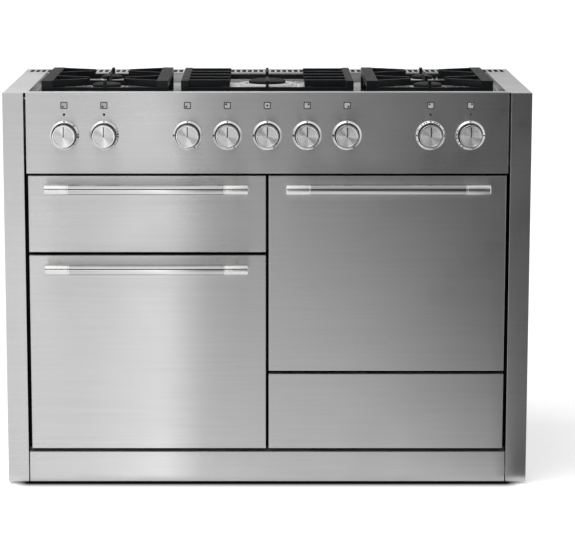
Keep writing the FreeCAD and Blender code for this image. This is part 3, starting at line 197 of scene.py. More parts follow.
def polished(name, colour, roughness, scratch):
    """Bright metal with faint wiping marks."""
    shader = Shader(name, Metallic=1.0)
    haze = shader.noise(14.0, 5.0, 0.6)
    hairs = shader.noise(220.0, 3.0, 0.7, (1, 1, 6))
    tone = shader.tint(haze, [c * 0.96 for c in colour], colour)
    rough = shader.math("ADD", shader.span(haze, 0.35, 0.7, roughness, roughness + scratch),
                        shader.span(hairs, 0.5, 0.8, 0, scratch))
    normal = shader.bump(hairs, 0.00001, 0.2, shader.round_normal(0.0003))
    return shader.set(Base_Color=tone, Roughness=rough, Normal=normal)


def spun_metal():
    """A turned face: rings about the piece's own axis, with sheen that runs outwards from the middle."""
    shader = Shader("spun_metal", Metallic=1.0, Anisotropic=0.95)
    split = shader.node("SeparateXYZ", {0: shader.coordinates}).outputs
    flat = shader.node("CombineXYZ", {0: split[0], 2: split[2]}).outputs[0]
    radius = shader.node("VectorMath", {0: flat}, operation="LENGTH").outputs["Value"]
    rings = shader.node("TexNoise", {"W": radius, "Scale": 5200.0, "Detail": 2.0},
                        noise_dimensions="1D").outputs["Fac"]
    fan = shader.noise(90.0, 4.0, 0.6)
    colour = shader.tint(shader.math("ADD", shader.math("MULTIPLY", rings, 0.5),
                                     shader.math("MULTIPLY", fan, 0.5)), 0.86, 0.97)
    outwards = shader.node("VectorTransform", {"Vector": flat}, vector_type="VECTOR",
                           convert_from="OBJECT", convert_to="WORLD").outputs[0]
    normal = shader.bump(rings, 0.00002, 0.35)
    return shader.set(Base_Color=colour, Roughness=shader.span(rings, 0.3, 0.7, 0.36, 0.44),
                      Normal=normal, Tangent=outwards)


def cast_iron():
    """Matt enamelled castings, paler where the edges are worn."""
    shader = Shader("cast_iron_enamel", Metallic=0.0, Specular_IOR_Level=0.14, Coat_Weight=0.2,
                    Coat_Roughness=0.15)
    grain = shader.noise(650.0, 4.0, 0.6)
    lumps = shader.noise(60.0, 3.0, 0.5)
    colour = shader.tint(grain, (0.0034, 0.004, 0.0048), (0.01, 0.012, 0.0145))
    worn = shader.math("MULTIPLY", shader.edges(0.0015), 0.6)
    colour = shader.blend(worn, colour, rgb((0.04, 0.045, 0.052)))
    height = shader.math("ADD", grain, shader.math("MULTIPLY", lumps, 2.0))
    return shader.set(Base_Color=colour, Roughness=shader.span(lumps, 0.3, 0.7, 0.36, 0.5),
                      Normal=shader.bump(height, 0.0002, 0.5, shader.round_normal(0.001)))


def enamel(name, dark, light, speckle=0.0):
    """Fired gloss enamel with a faint orange peel, and pale specks in an oven."""
    shader = Shader(name, Coat_Weight=0.6, Coat_Roughness=0.06)
    peel = shader.noise(180.0, 2.0, 0.5)
    tone = shader.noise(8.0, 4.0, 0.6)
    colour = shader.tint(tone, dark, light)
    if speckle:
        cells = shader.node("TexVoronoi", {"Vector": shader.coordinates, "Scale": 420.0})
        specks = cells.outputs["Distance"]
        colour = shader.blend(shader.math("LESS_THAN", specks, 0.16), colour, rgb(speckle))
    colour = shader.blend(shader.math("MULTIPLY", shader.edges(0.001), 0.3), colour, rgb(light * 3))
    return shader.set(Base_Color=colour, Roughness=shader.span(tone, 0.3, 0.7, 0.22, 0.34),
                      Normal=shader.bump(peel, 0.00008, 0.3, shader.round_normal(0.0006)))


def galvanised():
    """Zinc-coated sheet: crystals of different tone and sheen."""
    shader = Shader("zinc_sheet", Metallic=1.0)
    crystals = shader.node("TexVoronoi", {"Vector": shader.coordinates, "Scale": 85.0})
    tone = shader.node("SeparateXYZ", {0: crystals.outputs["Color"]}).outputs[0]
    fine = shader.noise(300.0, 4.0, 0.6)
    colour = shader.blend(shader.span(tone, 0, 1, 0, 1), rgb(0.46), rgb(0.54))
    rough = shader.math("ADD", shader.span(tone, 0, 1, 0.38, 0.46), shader.span(fine, 0.3, 0.7, -0.03, 0.05))
    return shader.set(Base_Color=colour, Roughness=rough,
                      Normal=shader.bump(fine, 0.00004, 0.3, shader.round_normal(0.0005)))


def cast_alloy():
    """Blasted aluminium with a warm stain from the flame."""
    shader = Shader("blasted_alloy", Metallic=0.25)
    grain = shader.noise(900.0, 3.0, 0.6)
    stain = shader.noise(45.0, 4.0, 0.65)
    colour = shader.blend(shader.span(stain, 0.5, 0.75, 0, 0.4), rgb(0.9), rgb((0.8, 0.76, 0.7)))
    return shader.set(Base_Color=colour, Roughness=shader.span(grain, 0.3, 0.7, 0.22, 0.34),
                      Normal=shader.bump(grain, 0.00005, 0.5, shader.round_normal(0.0004)))


def plain(name, dark, light, roughness, scale, depth, metallic=0.0, **sockets):
    """A moulded or painted finish with a fine grain."""
    shader = Shader(name, Metallic=metallic, **sockets)
    grain = shader.noise(scale, 4.0, 0.6)
    cloud = shader.noise(scale / 40, 3.0, 0.5)
    colour = shader.blend(shader.span(cloud, 0.3, 0.7, 0, 1), rgb(dark), rgb(light))
    rough = shader.span(grain, 0.3, 0.7, roughness - 0.05, roughness + 0.05)
    return shader.set(Base_Color=colour, Roughness=rough,
                      Normal=shader.bump(grain, depth, 0.5, shader.round_normal(0.0004)))


def braid():
    """Woven glass-fibre cord: two sets of strands that cross."""
    shader = Shader("woven_seal", Sheen_Weight=0.3, Sheen_Roughness=0.5)
    weave = []
    for slant in (1, -1):
        turn = shader.node("Mapping", {"Vector": shader.coordinates,
                                       "Rotation": (0, slant * math.pi / 4, 0)})
        wave = shader.node("TexWave", {"Vector": turn.outputs[0], "Scale": 160.0, "Distortion": 0.6},
                           bands_direction="X")
        weave.append(wave.outputs["Fac"])
    height = shader.math("MAXIMUM", weave[0], weave[1])
    fuzz = shader.noise(1500.0, 3.0, 0.7)
    colour = shader.tint(shader.math("MULTIPLY", height, fuzz), 0.05, 0.2, 0.1, 0.6)
    return shader.set(Base_Color=colour, Roughness=shader.span(fuzz, 0.3, 0.7, 0.7, 0.9),
                      Normal=shader.bump(height, 0.0004, 0.7))


def red_lens():
    """A dark red faceted lens."""
    shader = Shader("red_lamp_lens", Transmission_Weight=0.35, IOR=1.5, Coat_Weight=0.5)
    facets = shader.node("TexVoronoi", {"Vector": shader.coordinates, "Scale": 1400.0}).outputs["Distance"]
    colour = shader.blend(shader.span(facets, 0, 0.8, 0, 1), rgb((0.2, 0.004, 0.006)),
                          rgb((0.05, 0.001, 0.002)))
    return shader.set(Base_Color=colour, Roughness=shader.span(facets, 0, 1, 0.12, 0.25),
                      Normal=shader.bump(facets, 0.0001, 0.3))


STAINLESS = brushed_steel("brushed_steel", 0.62, 0.3, 0.97)
POLISHED = polished("polished_deck_steel", (0.66, 0.66, 0.67), 0.1, 0.05)
CHROME = polished("bright_chrome", (0.78, 0.78, 0.79), 0.05, 0.03)
SATIN = polished("satin_plate", (0.8, 0.8, 0.79), 0.22, 0.06)
BEZEL = polished("satin_bezel", (0.86, 0.86, 0.86), 0.3, 0.06)
SPUN = spun_metal()
IRON = cast_iron()
ENAMEL = enamel("black_enamel", 0.008, 0.02)
LID_ENAMEL = plain("matt_black_enamel", 0.004, 0.01, 0.5, 700.0, 0.00006, Specular_IOR_Level=0.15)
OVEN_ENAMEL = enamel("oven_enamel", 0.02, 0.045, 0.22)
ZINC = galvanised()
ALLOY = cast_alloy()
BRASS = plain("machined_brass", (0.6, 0.4, 0.16), (0.7, 0.5, 0.24), 0.3, 500.0, 0.00005, 1.0)
CERAMIC = plain("glazed_ceramic", 0.7, 0.8, 0.2, 300.0, 0.00003, Coat_Weight=0.5)
PLASTIC = plain("moulded_plastic", 0.02, 0.035, 0.45, 900.0, 0.00006)
# Dark print, and the painted shadow ring round each knob
INK_AND_PAINTED_SHADOW = plain("ink_and_painted_shadow", 0.02, 0.03, 0.5, 900.0, 0.00002)
PALE_INK = plain("pale_ink", 0.5, 0.55, 0.5, 900.0, 0.00002)
BAR = polished("polished_bar", (0.6, 0.6, 0.605), 0.06, 0.02)
WIRE = polished("plated_wire", (0.7, 0.7, 0.71), 0.14, 0.05)
ELEMENT = plain("heater_sheath", 0.1, 0.16, 0.5, 400.0, 0.00006, 0.8)
SEAL = braid()
LENS = red_lens()

NODE_FINISHES = {
    "base_frame": ZINC, "levelling_feet": ZINC, "left_side_panel": STAINLESS, "right_side_panel": STAINLESS,
    "back_panel": ZINC, "plinth_panel": STAINLESS, "front_frame": LID_ENAMEL, "hob_deck": POLISHED,
    "vent_grille": STAINLESS, "control_fascia": STAINLESS, "control_units": PLASTIC,
    "gas_pipework": BRASS, "door_hinge_brackets": ZINC, "door_seals": SEAL, "grill_cavity": OVEN_ENAMEL,
    "grill_pan": ENAMEL, "left_oven_cavity": OVEN_ENAMEL, "right_oven_cavity": OVEN_ENAMEL,
    "fan_covers": OVEN_ENAMEL, "fan_motors": ZINC, "oven_racks": WIRE, "heating_elements": ELEMENT,
    "drawer_runners_fixed": ZINC, "terminal_box": ZINC, "drawer_front": STAINLESS, "drawer_box": ZINC,
    "drawer_runners_middle": ZINC, "left_pan_support": IRON, "centre_pan_support": IRON,
    "right_pan_support": IRON, "left_oven_fan": ZINC, "right_oven_fan": ZINC,
}
SOFTENED = {
    "left_pan_support": 0.0016, "centre_pan_support": 0.0016, "right_pan_support": 0.0016,
    "left_side_panel": 0.0014, "right_side_panel": 0.0014, "plinth_panel": 0.001, "drawer_front": 0.001,
}
DOORS = ("grill_door", "left_oven_door", "right_oven_door")
for door in DOORS:
    NODE_FINISHES[door + "_panel"] = STAINLESS
    NODE_FINISHES[door + "_liner"] = ENAMEL
GAS_KNOBS = ("left_front", "left_rear", "centre", "right_rear", "right_front")
for place in GAS_KNOBS:
    NODE_FINISHES[f"spindle_{place}_burner"] = WIRE


def smooth_group():
    """Joins the corners of a node's faces and shades them smooth, so that a bevel can follow."""
    group = bpy.data.node_groups.new("joined_smooth", "GeometryNodeTree")
    group.interface.new_socket("Geometry", in_out="INPUT", socket_type="NodeSocketGeometry")
    group.interface.new_socket("Geometry", in_out="OUTPUT", socket_type="NodeSocketGeometry")
    start = group.nodes.new("NodeGroupInput")
    join = group.nodes.new("GeometryNodeMergeByDistance")
    join.inputs["Distance"].default_value = 0.00001
    shade = group.nodes.new("GeometryNodeSetShadeSmooth")
    end = group.nodes.new("NodeGroupOutput")
    group.links.new(start.outputs[0], join.inputs["Geometry"])
    group.links.new(join.outputs[0], shade.inputs["Geometry"])
    group.links.new(shade.outputs[0], end.inputs[0])
    return group


SMOOTH = smooth_group()


def soften(node, width):
    """Rounds a carried-over node's edges."""
    node.modifiers.new("joined", "NODES").node_group = SMOOTH
    bevel = node.modifiers.new("rounded", "BEVEL")
    bevel.width = width
    bevel.segments = 3
    bevel.limit_method = "ANGLE"
    bevel.angle_limit = math.radians(30)
    node.modifiers.new("shading", "WEIGHTED_NORMAL")


def finish_nodes():
    """Gives the carried-over nodes their finishes and softens some edges."""
    for name, finish in NODE_FINISHES.items():
        for index in range(len(nodes[name].data.materials)):
            nodes[name].material_slots[index].link = "OBJECT"
            nodes[name].material_slots[index].material = finish
    for name, width in SOFTENED.items():
        soften(nodes[name], width)


# Mesh helpers

ARC_STEPS = 6
SHARP_ANGLE = math.radians(35)
AXIS_RADIUS = 1e-7


def arc_corners(corners):
    """Points of a profile whose corners are (radius, height, rounding)."""
    points = []
    for index, (radius, height, rounding) in enumerate(corners):
        here = Vector((radius, height))
        if not rounding:
            points.append(here)
            continue
        before = Vector(corners[index - 1][:2])
        after = Vector(corners[(index + 1) % len(corners)][:2])
        start = here + (before - here).normalized() * rounding
        end = here + (after - here).normalized() * rounding
        for step in range(ARC_STEPS + 1):
            share = step / ARC_STEPS
            points.append(start.lerp(here, share).lerp(here.lerp(end, share), share))
    return points


def lathe(mesh, corners, centre=(0, 0, 0), axis="z", segments=64, material=0):
    """Turns a closed profile about an axis. Points on the axis close the form."""
    turn = TOWARDS[axis]
    rings = []
    for point in arc_corners(corners):
        if point.x < AXIS_RADIUS:
            rings.append([mesh.verts.new(Vector(centre) + turn @ Vector((0, 0, point.y)))])
            continue
        ring = []
        for step in range(segments):
            angle = 2 * math.pi * step / segments
            place = Vector((point.x * math.cos(angle), point.x * math.sin(angle), point.y))
            ring.append(mesh.verts.new(Vector(centre) + turn @ place))
        rings.append(ring)
    closed = len(rings[0]) > 1 and len(rings[-1]) > 1
    pairs = list(zip(rings, rings[1:])) + ([(rings[-1], rings[0])] if closed else [])
    for low, high in pairs:
        for step in range(segments):
            following = (step + 1) % segments
            loop = [low[step % len(low)], low[following % len(low)],
                    high[following % len(high)], high[step % len(high)]]
            corners_used = list(dict.fromkeys(loop))
            if len(corners_used) > 2:
                face = mesh.faces.new(corners_used)
                face.material_index = material
                face.smooth = True


def prism(mesh, outline, centre, axis, low, high, material=0):
    """A flat shape between two heights along an axis."""
    turn = TOWARDS[axis]
    rows = [[mesh.verts.new(Vector(centre) + turn @ Vector((x, y, height))) for x, y in outline]
            for height in (low, high)]
    count = len(outline)
    faces = [mesh.faces.new(rows[0][::-1]), mesh.faces.new(rows[1])]
    for step in range(count):
        following = (step + 1) % count
        faces.append(mesh.faces.new((rows[0][step], rows[0][following], rows[1][following], rows[1][step])))
    for face in faces:
        face.material_index = material
    return faces


def piece(name, mesh, finishes, body, origin=(0, 0, 0), replaces=()):
    """Makes one object of a finished mesh and lets it ride on a body."""
    bmesh.ops.recalc_face_normals(mesh, faces=mesh.faces)
    for edge in mesh.edges:
        edge.smooth = len(edge.link_faces) == 2 and edge.calc_face_angle(0) < SHARP_ANGLE
    data = bpy.data.meshes.new(name)
    mesh.to_mesh(data)
    mesh.free()
    for finish in finishes:
        data.materials.append(finish)
    made = bpy.data.objects.new(name, data)
    made.location = origin
    bpy.context.scene.collection.objects.link(made)
    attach(made, body)
    if replaces:
        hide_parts(*replaces)
    return made


def middle(node):
    low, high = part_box(node)
    return (low + high) / 2


# Knobs and bezels

KNOB_BACK = FRONT_Y - 0.006
BEZEL_RADIUS = 0.034
BEZEL_INNER = 0.027
BEZEL_EDGE_HEIGHT = 0.003
BEZEL_LIP_RADIUS = 0.0292
BEZEL_HEIGHT = 0.007
BEZEL_FLOOR = 0.0015
BEZEL_BORE = 0.0051
MARK_SIDES = 16
MARK_REACH = 0.0316
MARK_RISE = 0.00012

KNOB_RIM = 0.003
POINTER_HALF = 0.0012
POINTER_GLINT = 0.0008
POINTER_RIM_GAP = 0.0055
POINTER_ROOT = 0.0008
POINTER_FOOT = 0.0012
POINTER_TOP = 0.0005
GLINT_TOP = 0.0004
GLINT_START = 0.0005
GLINT_END_GAP = 0.001

OVEN_KNOBS = ("grill", "left_oven", "right_oven_function", "right_oven_heat")
KNOBS = [*OVEN_KNOBS, *(f"{place}_burner" for place in GAS_KNOBS)]

# Marks round each bezel: clockwise angle from the top and size in millimetres
GAS_MARKS = ((0, 4.0), (270, 5.0), (150, 3.6))
MARKS = {
    "grill": ((0, 4.0), (45, 4.0), (86, 4.6), (96, 5.0), (130, 2.4)),
    "left_oven": ((0, 4.0), (62, 3.2), (73, 4.2), (84, 5.0), (95, 5.0), (106, 3.6), (130, 2.4)),
    "right_oven_function": ((0, 4.0), (18, 3.6), (28, 3.8), (40, 3.4), (-18, 3.6), (-28, 3.8), (-40, 3.4),
                            (-66, 3.2), (-90, 4.2), (-115, 3.2), (66, 3.0), (92, 3.4)),
    "right_oven_heat": ((0, 4.0), (-70, 3.0), (-86, 3.8), (-102, 3.8), (-117, 3.4), (-132, 3.8),
                        (-147, 3.8), (90, 4.2)),
}


def knob_corners(radius, length):
    """Side, bright rim and dished face of a knob, from its back edge."""
    return [
        (0, 0, 0),
        (radius - 0.0025, 0, 0.0004),
        (radius - 0.0018, 0.0012, 0.0005),
        (radius, 0.0018, 0.0006),
        (radius, length, 0.0013),
        (radius - 0.0028, length, 0.0007),
        (radius - 0.0036, length - 0.0009, 0.0007),
        (0, length - 0.0007, 0),
    ]


def make_knob(name):
    node = f"knob_{name}"
    low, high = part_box(node)
    radius = (high.x - low.x) / 2
    length = KNOB_BACK - low.y
    centre = Vector(((low.x + high.x) / 2, KNOB_BACK, (low.z + high.z) / 2))
    mesh = bmesh.new()
    lathe(mesh, knob_corners(radius, length), axis="-y", segments=96)
    for face in mesh.faces:
        outwards = math.hypot(face.calc_center_median().x, face.calc_center_median().z)
        face.material_index = 1 if outwards > radius - KNOB_RIM else 0
    piece(f"{node}_cap", mesh, (SPUN, CHROME), node, centre, replaces=(node,))
    line = bmesh.new()
    half, reach = POINTER_HALF, radius - POINTER_RIM_GAP
    steps = [math.pi * step / 6 for step in range(7)]
    outline = [(half * math.cos(angle), reach + half * math.sin(angle)) for angle in steps]
    outline += [(-half * math.cos(angle), -POINTER_ROOT - half * math.sin(angle)) for angle in steps]
    prism(line, outline, (0, 0, 0), "-y", length - POINTER_FOOT, length - POINTER_TOP)
    glint_end = reach - GLINT_END_GAP
    glint = [(half + POINTER_GLINT, glint_end), (half, glint_end), (half, GLINT_START),
             (half + POINTER_GLINT, GLINT_START)]
    prism(line, glint, (0, 0, 0), "-y", length - POINTER_FOOT, length - GLINT_TOP, 1)
    piece(f"{node}_pointer", line, (INK_AND_PAINTED_SHADOW, CHROME), node, centre)


def bezel_corners():
    """A cone-faced ring with a floor that the shaft passes through."""
    return [
        (BEZEL_BORE, 0, 0),
        (BEZEL_RADIUS, 0, 0),
        (BEZEL_RADIUS, BEZEL_EDGE_HEIGHT, 0.0012),
        (BEZEL_LIP_RADIUS, BEZEL_HEIGHT - 0.0003, 0.0006),
        (BEZEL_INNER, BEZEL_HEIGHT - 0.0003, 0.0003),
        (BEZEL_INNER, BEZEL_FLOOR, 0.0002),
        (BEZEL_BORE, BEZEL_FLOOR, 0),
    ]


def shadow_ring_corners():
    """Painted shadow: a black ring round a knob, over the bezel's inner edge, for the shade in the gap
    between knob and bezel.
    """
    return [
        (BEZEL_INNER - 0.0001, BEZEL_FLOOR, 0),
        (BEZEL_INNER, BEZEL_HEIGHT - 0.0004, 0),
        (BEZEL_LIP_RADIUS, BEZEL_HEIGHT - 0.0004, 0),
        (BEZEL_LIP_RADIUS, BEZEL_HEIGHT, 0.0002),
        (BEZEL_INNER - 0.0003, BEZEL_HEIGHT, 0.0002),
        (BEZEL_INNER - 0.0003, BEZEL_FLOOR, 0),
    ]


def knob_centre(name):
    place = middle(f"knob_{name}")
    return Vector((place.x, FRONT_Y, place.z))


def make_bezels():
    """The rings round the knobs, with the marks on their cone faces and a painted shadow ring at each knob.
    """
    rings = bmesh.new()
    marks = bmesh.new()
    rise = BEZEL_HEIGHT - BEZEL_EDGE_HEIGHT
    run = BEZEL_RADIUS - BEZEL_LIP_RADIUS
    level = BEZEL_EDGE_HEIGHT + rise * (BEZEL_RADIUS - MARK_REACH) / run
    for name in KNOBS:
        centre = knob_centre(name)
        lathe(rings, bezel_corners(), centre, "-y", 96)
        # Painted shadow: the black ring in the gap round each knob
        lathe(rings, shadow_ring_corners(), centre, "-y", 96, 1)
        for clockwise, size in MARKS.get(name, GAS_MARKS):
            turn = math.radians(clockwise)
            outwards = Vector((math.sin(turn), 0, math.cos(turn)))
            normal = (outwards * rise + Vector((0, -run, 0))).normalized()
            spot = centre + outwards * MARK_REACH + Vector((0, -level, 0))
            sideways = normal.cross(outwards).normalized()
            up = sideways.cross(normal)
            circle = []
            for step in range(MARK_SIDES):
                angle = 2 * math.pi * step / MARK_SIDES
                circle.append((sideways * math.cos(angle) + up * math.sin(angle)) * size / 2000)
            top = [marks.verts.new(spot + point + normal * MARK_RISE) for point in circle]
            foot = [marks.verts.new(spot + point - normal * MARK_RISE * 3) for point in circle]
            marks.faces.new(top)
            marks.faces.new(foot[::-1])
            for step in range(MARK_SIDES):
                following = (step + 1) % MARK_SIDES
                marks.faces.new((foot[step], foot[following], top[following], top[step]))
    piece("bezel_rings", rings, (BEZEL, INK_AND_PAINTED_SHADOW), "cooker", replaces=("knob_bezels",))
    piece("bezel_marks", marks, (INK_AND_PAINTED_SHADOW,), "cooker")


def make_lamps():
    low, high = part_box("indicator_lamps")
    lenses = bmesh.new()
    collars = bmesh.new()
    for name in OVEN_KNOBS:
        centre = Vector((middle(f"knob_{name}").x, FRONT_Y, (low.z + high.z) / 2))
        lathe(lenses, [
            (0, -0.004, 0), (0.0029, -0.004, 0), (0.0029, 0.0004, 0.0008), (0, 0.0009, 0.0012),
        ], centre, "-y", 32)
        lathe(collars, [
            (0.003, -0.001, 0), (0.0036, -0.001, 0), (0.0036, 0.0005, 0.0003), (0.003, 0.0005, 0.0002),
        ], centre, "-y", 32)
    piece("lamp_lenses", lenses, (LENS,), "cooker", replaces=("indicator_lamps",))
    piece("lamp_collars", collars, (CHROME,), "cooker")


# Pictograms over the knobs: the dot's place in the square, across and up
DOTS = {
    "grill": (-1, -1), "left_oven": (-1, -1), "left_front_burner": (-1, -1), "left_rear_burner": (-1, 1),
    "centre_burner": (0, 0), "right_rear_burner": (1, 1), "right_front_burner": (1, -1),
    "right_oven_function": (-1, 1), "right_oven_heat": (1, 1),
}
SIGN_Z = 0.8925
SIGN_HALF = 0.0082
SIGN_LINE = 0.002
SIGN_DOT = 0.0024
SIGN_DOT_SHIFT = 0.0029
SIGN_CORNER = 0.0024
SIGN_INNER_CORNER = 0.0014
SIGN_CORNER_STEPS = 5
INK_HEIGHT = 0.0001


def rounded_square(half, radius):
    """Corner points of a square with round corners, all the way round."""
    points = []
    for quarter in range(4):
        turn = quarter * math.pi / 2
        diagonal = Vector((math.cos(turn + math.pi / 4), math.sin(turn + math.pi / 4)))
        corner = diagonal * (half - radius) * math.sqrt(2)
        for step in range(SIGN_CORNER_STEPS + 1):
            angle = turn + math.pi / 2 * step / SIGN_CORNER_STEPS
            points.append((corner.x + radius * math.cos(angle), corner.y + radius * math.sin(angle)))
    return points


def make_signs():
    """A small square with a dot over each knob."""
    lines = bmesh.new()
    plates = bmesh.new()
    for name, (across, up) in DOTS.items():
        centre = Vector((knob_centre(name).x, FRONT_Y, SIGN_Z))
        outer = rounded_square(SIGN_HALF, SIGN_CORNER)
        inner = rounded_square(SIGN_HALF - SIGN_LINE, SIGN_INNER_CORNER)
        turn = TOWARDS["-y"]
        rows = [[lines.verts.new(centre + turn @ Vector((x, y, height))) for x, y in points]
                for points in (outer, inner) for height in (0, INK_HEIGHT)]
        for first, second in ((0, 1), (1, 3), (3, 2), (2, 0)):
            for step in range(len(outer)):
                following = (step + 1) % len(outer)
                lines.faces.new((rows[first][step], rows[first][following],
                                 rows[second][following], rows[second][step]))
        dot = centre + Vector((across * SIGN_DOT_SHIFT, 0, up * SIGN_DOT_SHIFT))
        top = INK_HEIGHT * 1.5
        lathe(lines, [(0, 0, 0), (SIGN_DOT, 0, 0), (SIGN_DOT, top, 0), (0, top, 0)], dot, "-y", 24)
        prism(plates, inner, centre, "-y", 0, INK_HEIGHT * 0.5)
    piece("sign_lines", lines, (INK_AND_PAINTED_SHADOW,), "cooker")
    piece("sign_plates", plates, (PALE_INK,), "cooker")


# Handles

CAP_LENGTH = 0.057
POST_RADIUS = 0.005
POST_FOOT_RADIUS = 0.0065


def make_handle(door):
    """A door's bar with its two end caps and their posts."""
    node = f"{door}_handle"
    low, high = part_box(node)
    cap_radius = (high.z - low.z) / 2
    level = (low.z + high.z) / 2
    axis_y = low.y + cap_radius
    bar = bmesh.new()
    bar_radius = cap_radius - 0.0005
    bar_start = low.x + CAP_LENGTH - 0.002
    bar_length = high.x - low.x - 2 * CAP_LENGTH + 0.004
    lathe(bar, [(0, 0, 0), (bar_radius, 0, 0), (bar_radius, bar_length, 0), (0, bar_length, 0)],
          (bar_start, axis_y, level), "x", 96)
    piece(f"{node}_bar", bar, (BAR,), door, replaces=(node,))
    ends = bmesh.new()
    posts = bmesh.new()
    cap = [
        (0, 0.0006, 0),
        (cap_radius - 0.0045, 0.0002, 0.001),
        (cap_radius, 0.0002, 0.0034),
        (cap_radius, CAP_LENGTH - 0.0042, 0.0002),
        (cap_radius - 0.0006, CAP_LENGTH - 0.0038, 0.0001),
        (cap_radius - 0.0006, CAP_LENGTH - 0.003, 0.0001),
        (cap_radius, CAP_LENGTH - 0.0026, 0.0002),
        (cap_radius, CAP_LENGTH, 0.0006),
        (0, CAP_LENGTH, 0),
    ]
    for end_x, axis in ((low.x, "x"), (high.x, "-x")):
        lathe(ends, cap, (end_x, axis_y, level), axis, 96)
        inwards = CAP_LENGTH / 2 if axis == "x" else -CAP_LENGTH / 2
        reach = FRONT_Y - axis_y
        stem = [
            (0, 0, 0),
            (POST_RADIUS, 0, 0),
            (POST_RADIUS, reach - 0.0025, 0.001),
            (POST_FOOT_RADIUS, reach - 0.0018, 0.0005),
            (POST_FOOT_RADIUS, reach, 0),
            (0, reach, 0),
        ]
        lathe(posts, stem, (end_x + inwards, axis_y, level), "y", 48)
    piece(f"{node}_caps", ends, (SATIN,), door)
    piece(f"{node}_posts", posts, (SATIN,), door)


# Burners

# Place across, depth behind the front and radius of each burner
BURNERS = {
    "left_front": (-0.375, 0.123, 0.0395), "left_rear": (-0.375, 0.33, 0.0315),
    "centre": (0, 0.2225, 0.065),
    "right_rear": (0.375, 0.33, 0.0315), "right_front": (0.375, 0.123, 0.0395),
}
HEAD_HEIGHT = 0.015
CAP_HEIGHT = 0.0105
WOK_CAP_HEIGHT = 0.0095
WOK_CAP_RADIUS = 0.044
WOK_DISH = 0.089
WOK_DISH_HEIGHT = 0.009
WOK_TRAY = 0.003
WOK_PORT_DEPTH = 0.0035
WOK_PORTS = 48

STEM_RADIUS = 0.02
STEM_DEPTH = 0.024
CROWN_INSET = 0.004
PORT_BASE = 0.006
PORT_DEPTH = 0.0032
SMALL_PORT_TOP = 0.0128
WOK_PORT_TOP = 0.0125
LARGE_RADIUS = 0.035
LARGE_PORTS = 36
SMALL_PORTS = 28
CAP_INSET = 0.002
PLUG_GAP = 0.004


def ports(mesh, centre, outer, inner, low, high, count):
    """A crown of teeth with a flame port between each pair."""
    outline = []
    for step in range(count):
        for share in (0.0, 0.2, 0.4, 0.6, 0.62, 0.98):
            radius = outer if share <= 0.6 else inner
            angle = 2 * math.pi * (step + share) / count
            outline.append((radius * math.cos(angle), radius * math.sin(angle)))
    prism(mesh, outline, centre, "z", low, high)


def add_wok_head(mesh, centre, radius):
    """The middle burner: a wide dish, a crown of ports and a groove in its top."""
    lathe(mesh, [
        (0, -STEM_DEPTH, 0), (STEM_RADIUS, -STEM_DEPTH, 0), (STEM_RADIUS, 0, 0), (WOK_DISH, 0, 0),
        (WOK_DISH, WOK_DISH_HEIGHT, 0.0025), (WOK_DISH - 0.007, WOK_DISH_HEIGHT, 0.002),
        (WOK_DISH - 0.009, WOK_TRAY, 0.002), (radius - 0.001, WOK_TRAY, 0.001),
        (radius - 0.001, PORT_BASE, 0), (0, PORT_BASE, 0),
    ], centre, "z", 96)
    ports(mesh, centre, radius, radius - WOK_PORT_DEPTH, PORT_BASE, WOK_PORT_TOP, WOK_PORTS)
    lathe(mesh, [
        (0, WOK_PORT_TOP, 0), (radius, WOK_PORT_TOP, 0), (radius, HEAD_HEIGHT, 0.001),
        (0.052, HEAD_HEIGHT, 0.0006), (0.05, 0.011, 0.001), (0.046, 0.011, 0.0006),
        (0.0455, HEAD_HEIGHT, 0.0004), (0, HEAD_HEIGHT, 0),
    ], centre, "z", 96)


def add_small_head(mesh, centre, radius, crown):
    """An outer burner: a skirt on the deck and a crown of ports."""
    count = LARGE_PORTS if radius > LARGE_RADIUS else SMALL_PORTS
    lathe(mesh, [
        (0, -STEM_DEPTH, 0), (STEM_RADIUS, -STEM_DEPTH, 0), (STEM_RADIUS, 0, 0), (radius, 0, 0),
        (radius, 0.004, 0.0012), (crown + 0.001, 0.004, 0.0008), (crown - 0.003, PORT_BASE, 0),
        (0, PORT_BASE, 0),
    ], centre, "z", 80)
    ports(mesh, centre, crown, crown - PORT_DEPTH, 0.005, SMALL_PORT_TOP, count)
    lathe(mesh, [
        (0, SMALL_PORT_TOP, 0), (crown, SMALL_PORT_TOP, 0), (crown, HEAD_HEIGHT, 0.0008),
        (0, HEAD_HEIGHT, 0),
    ], centre, "z", 80)


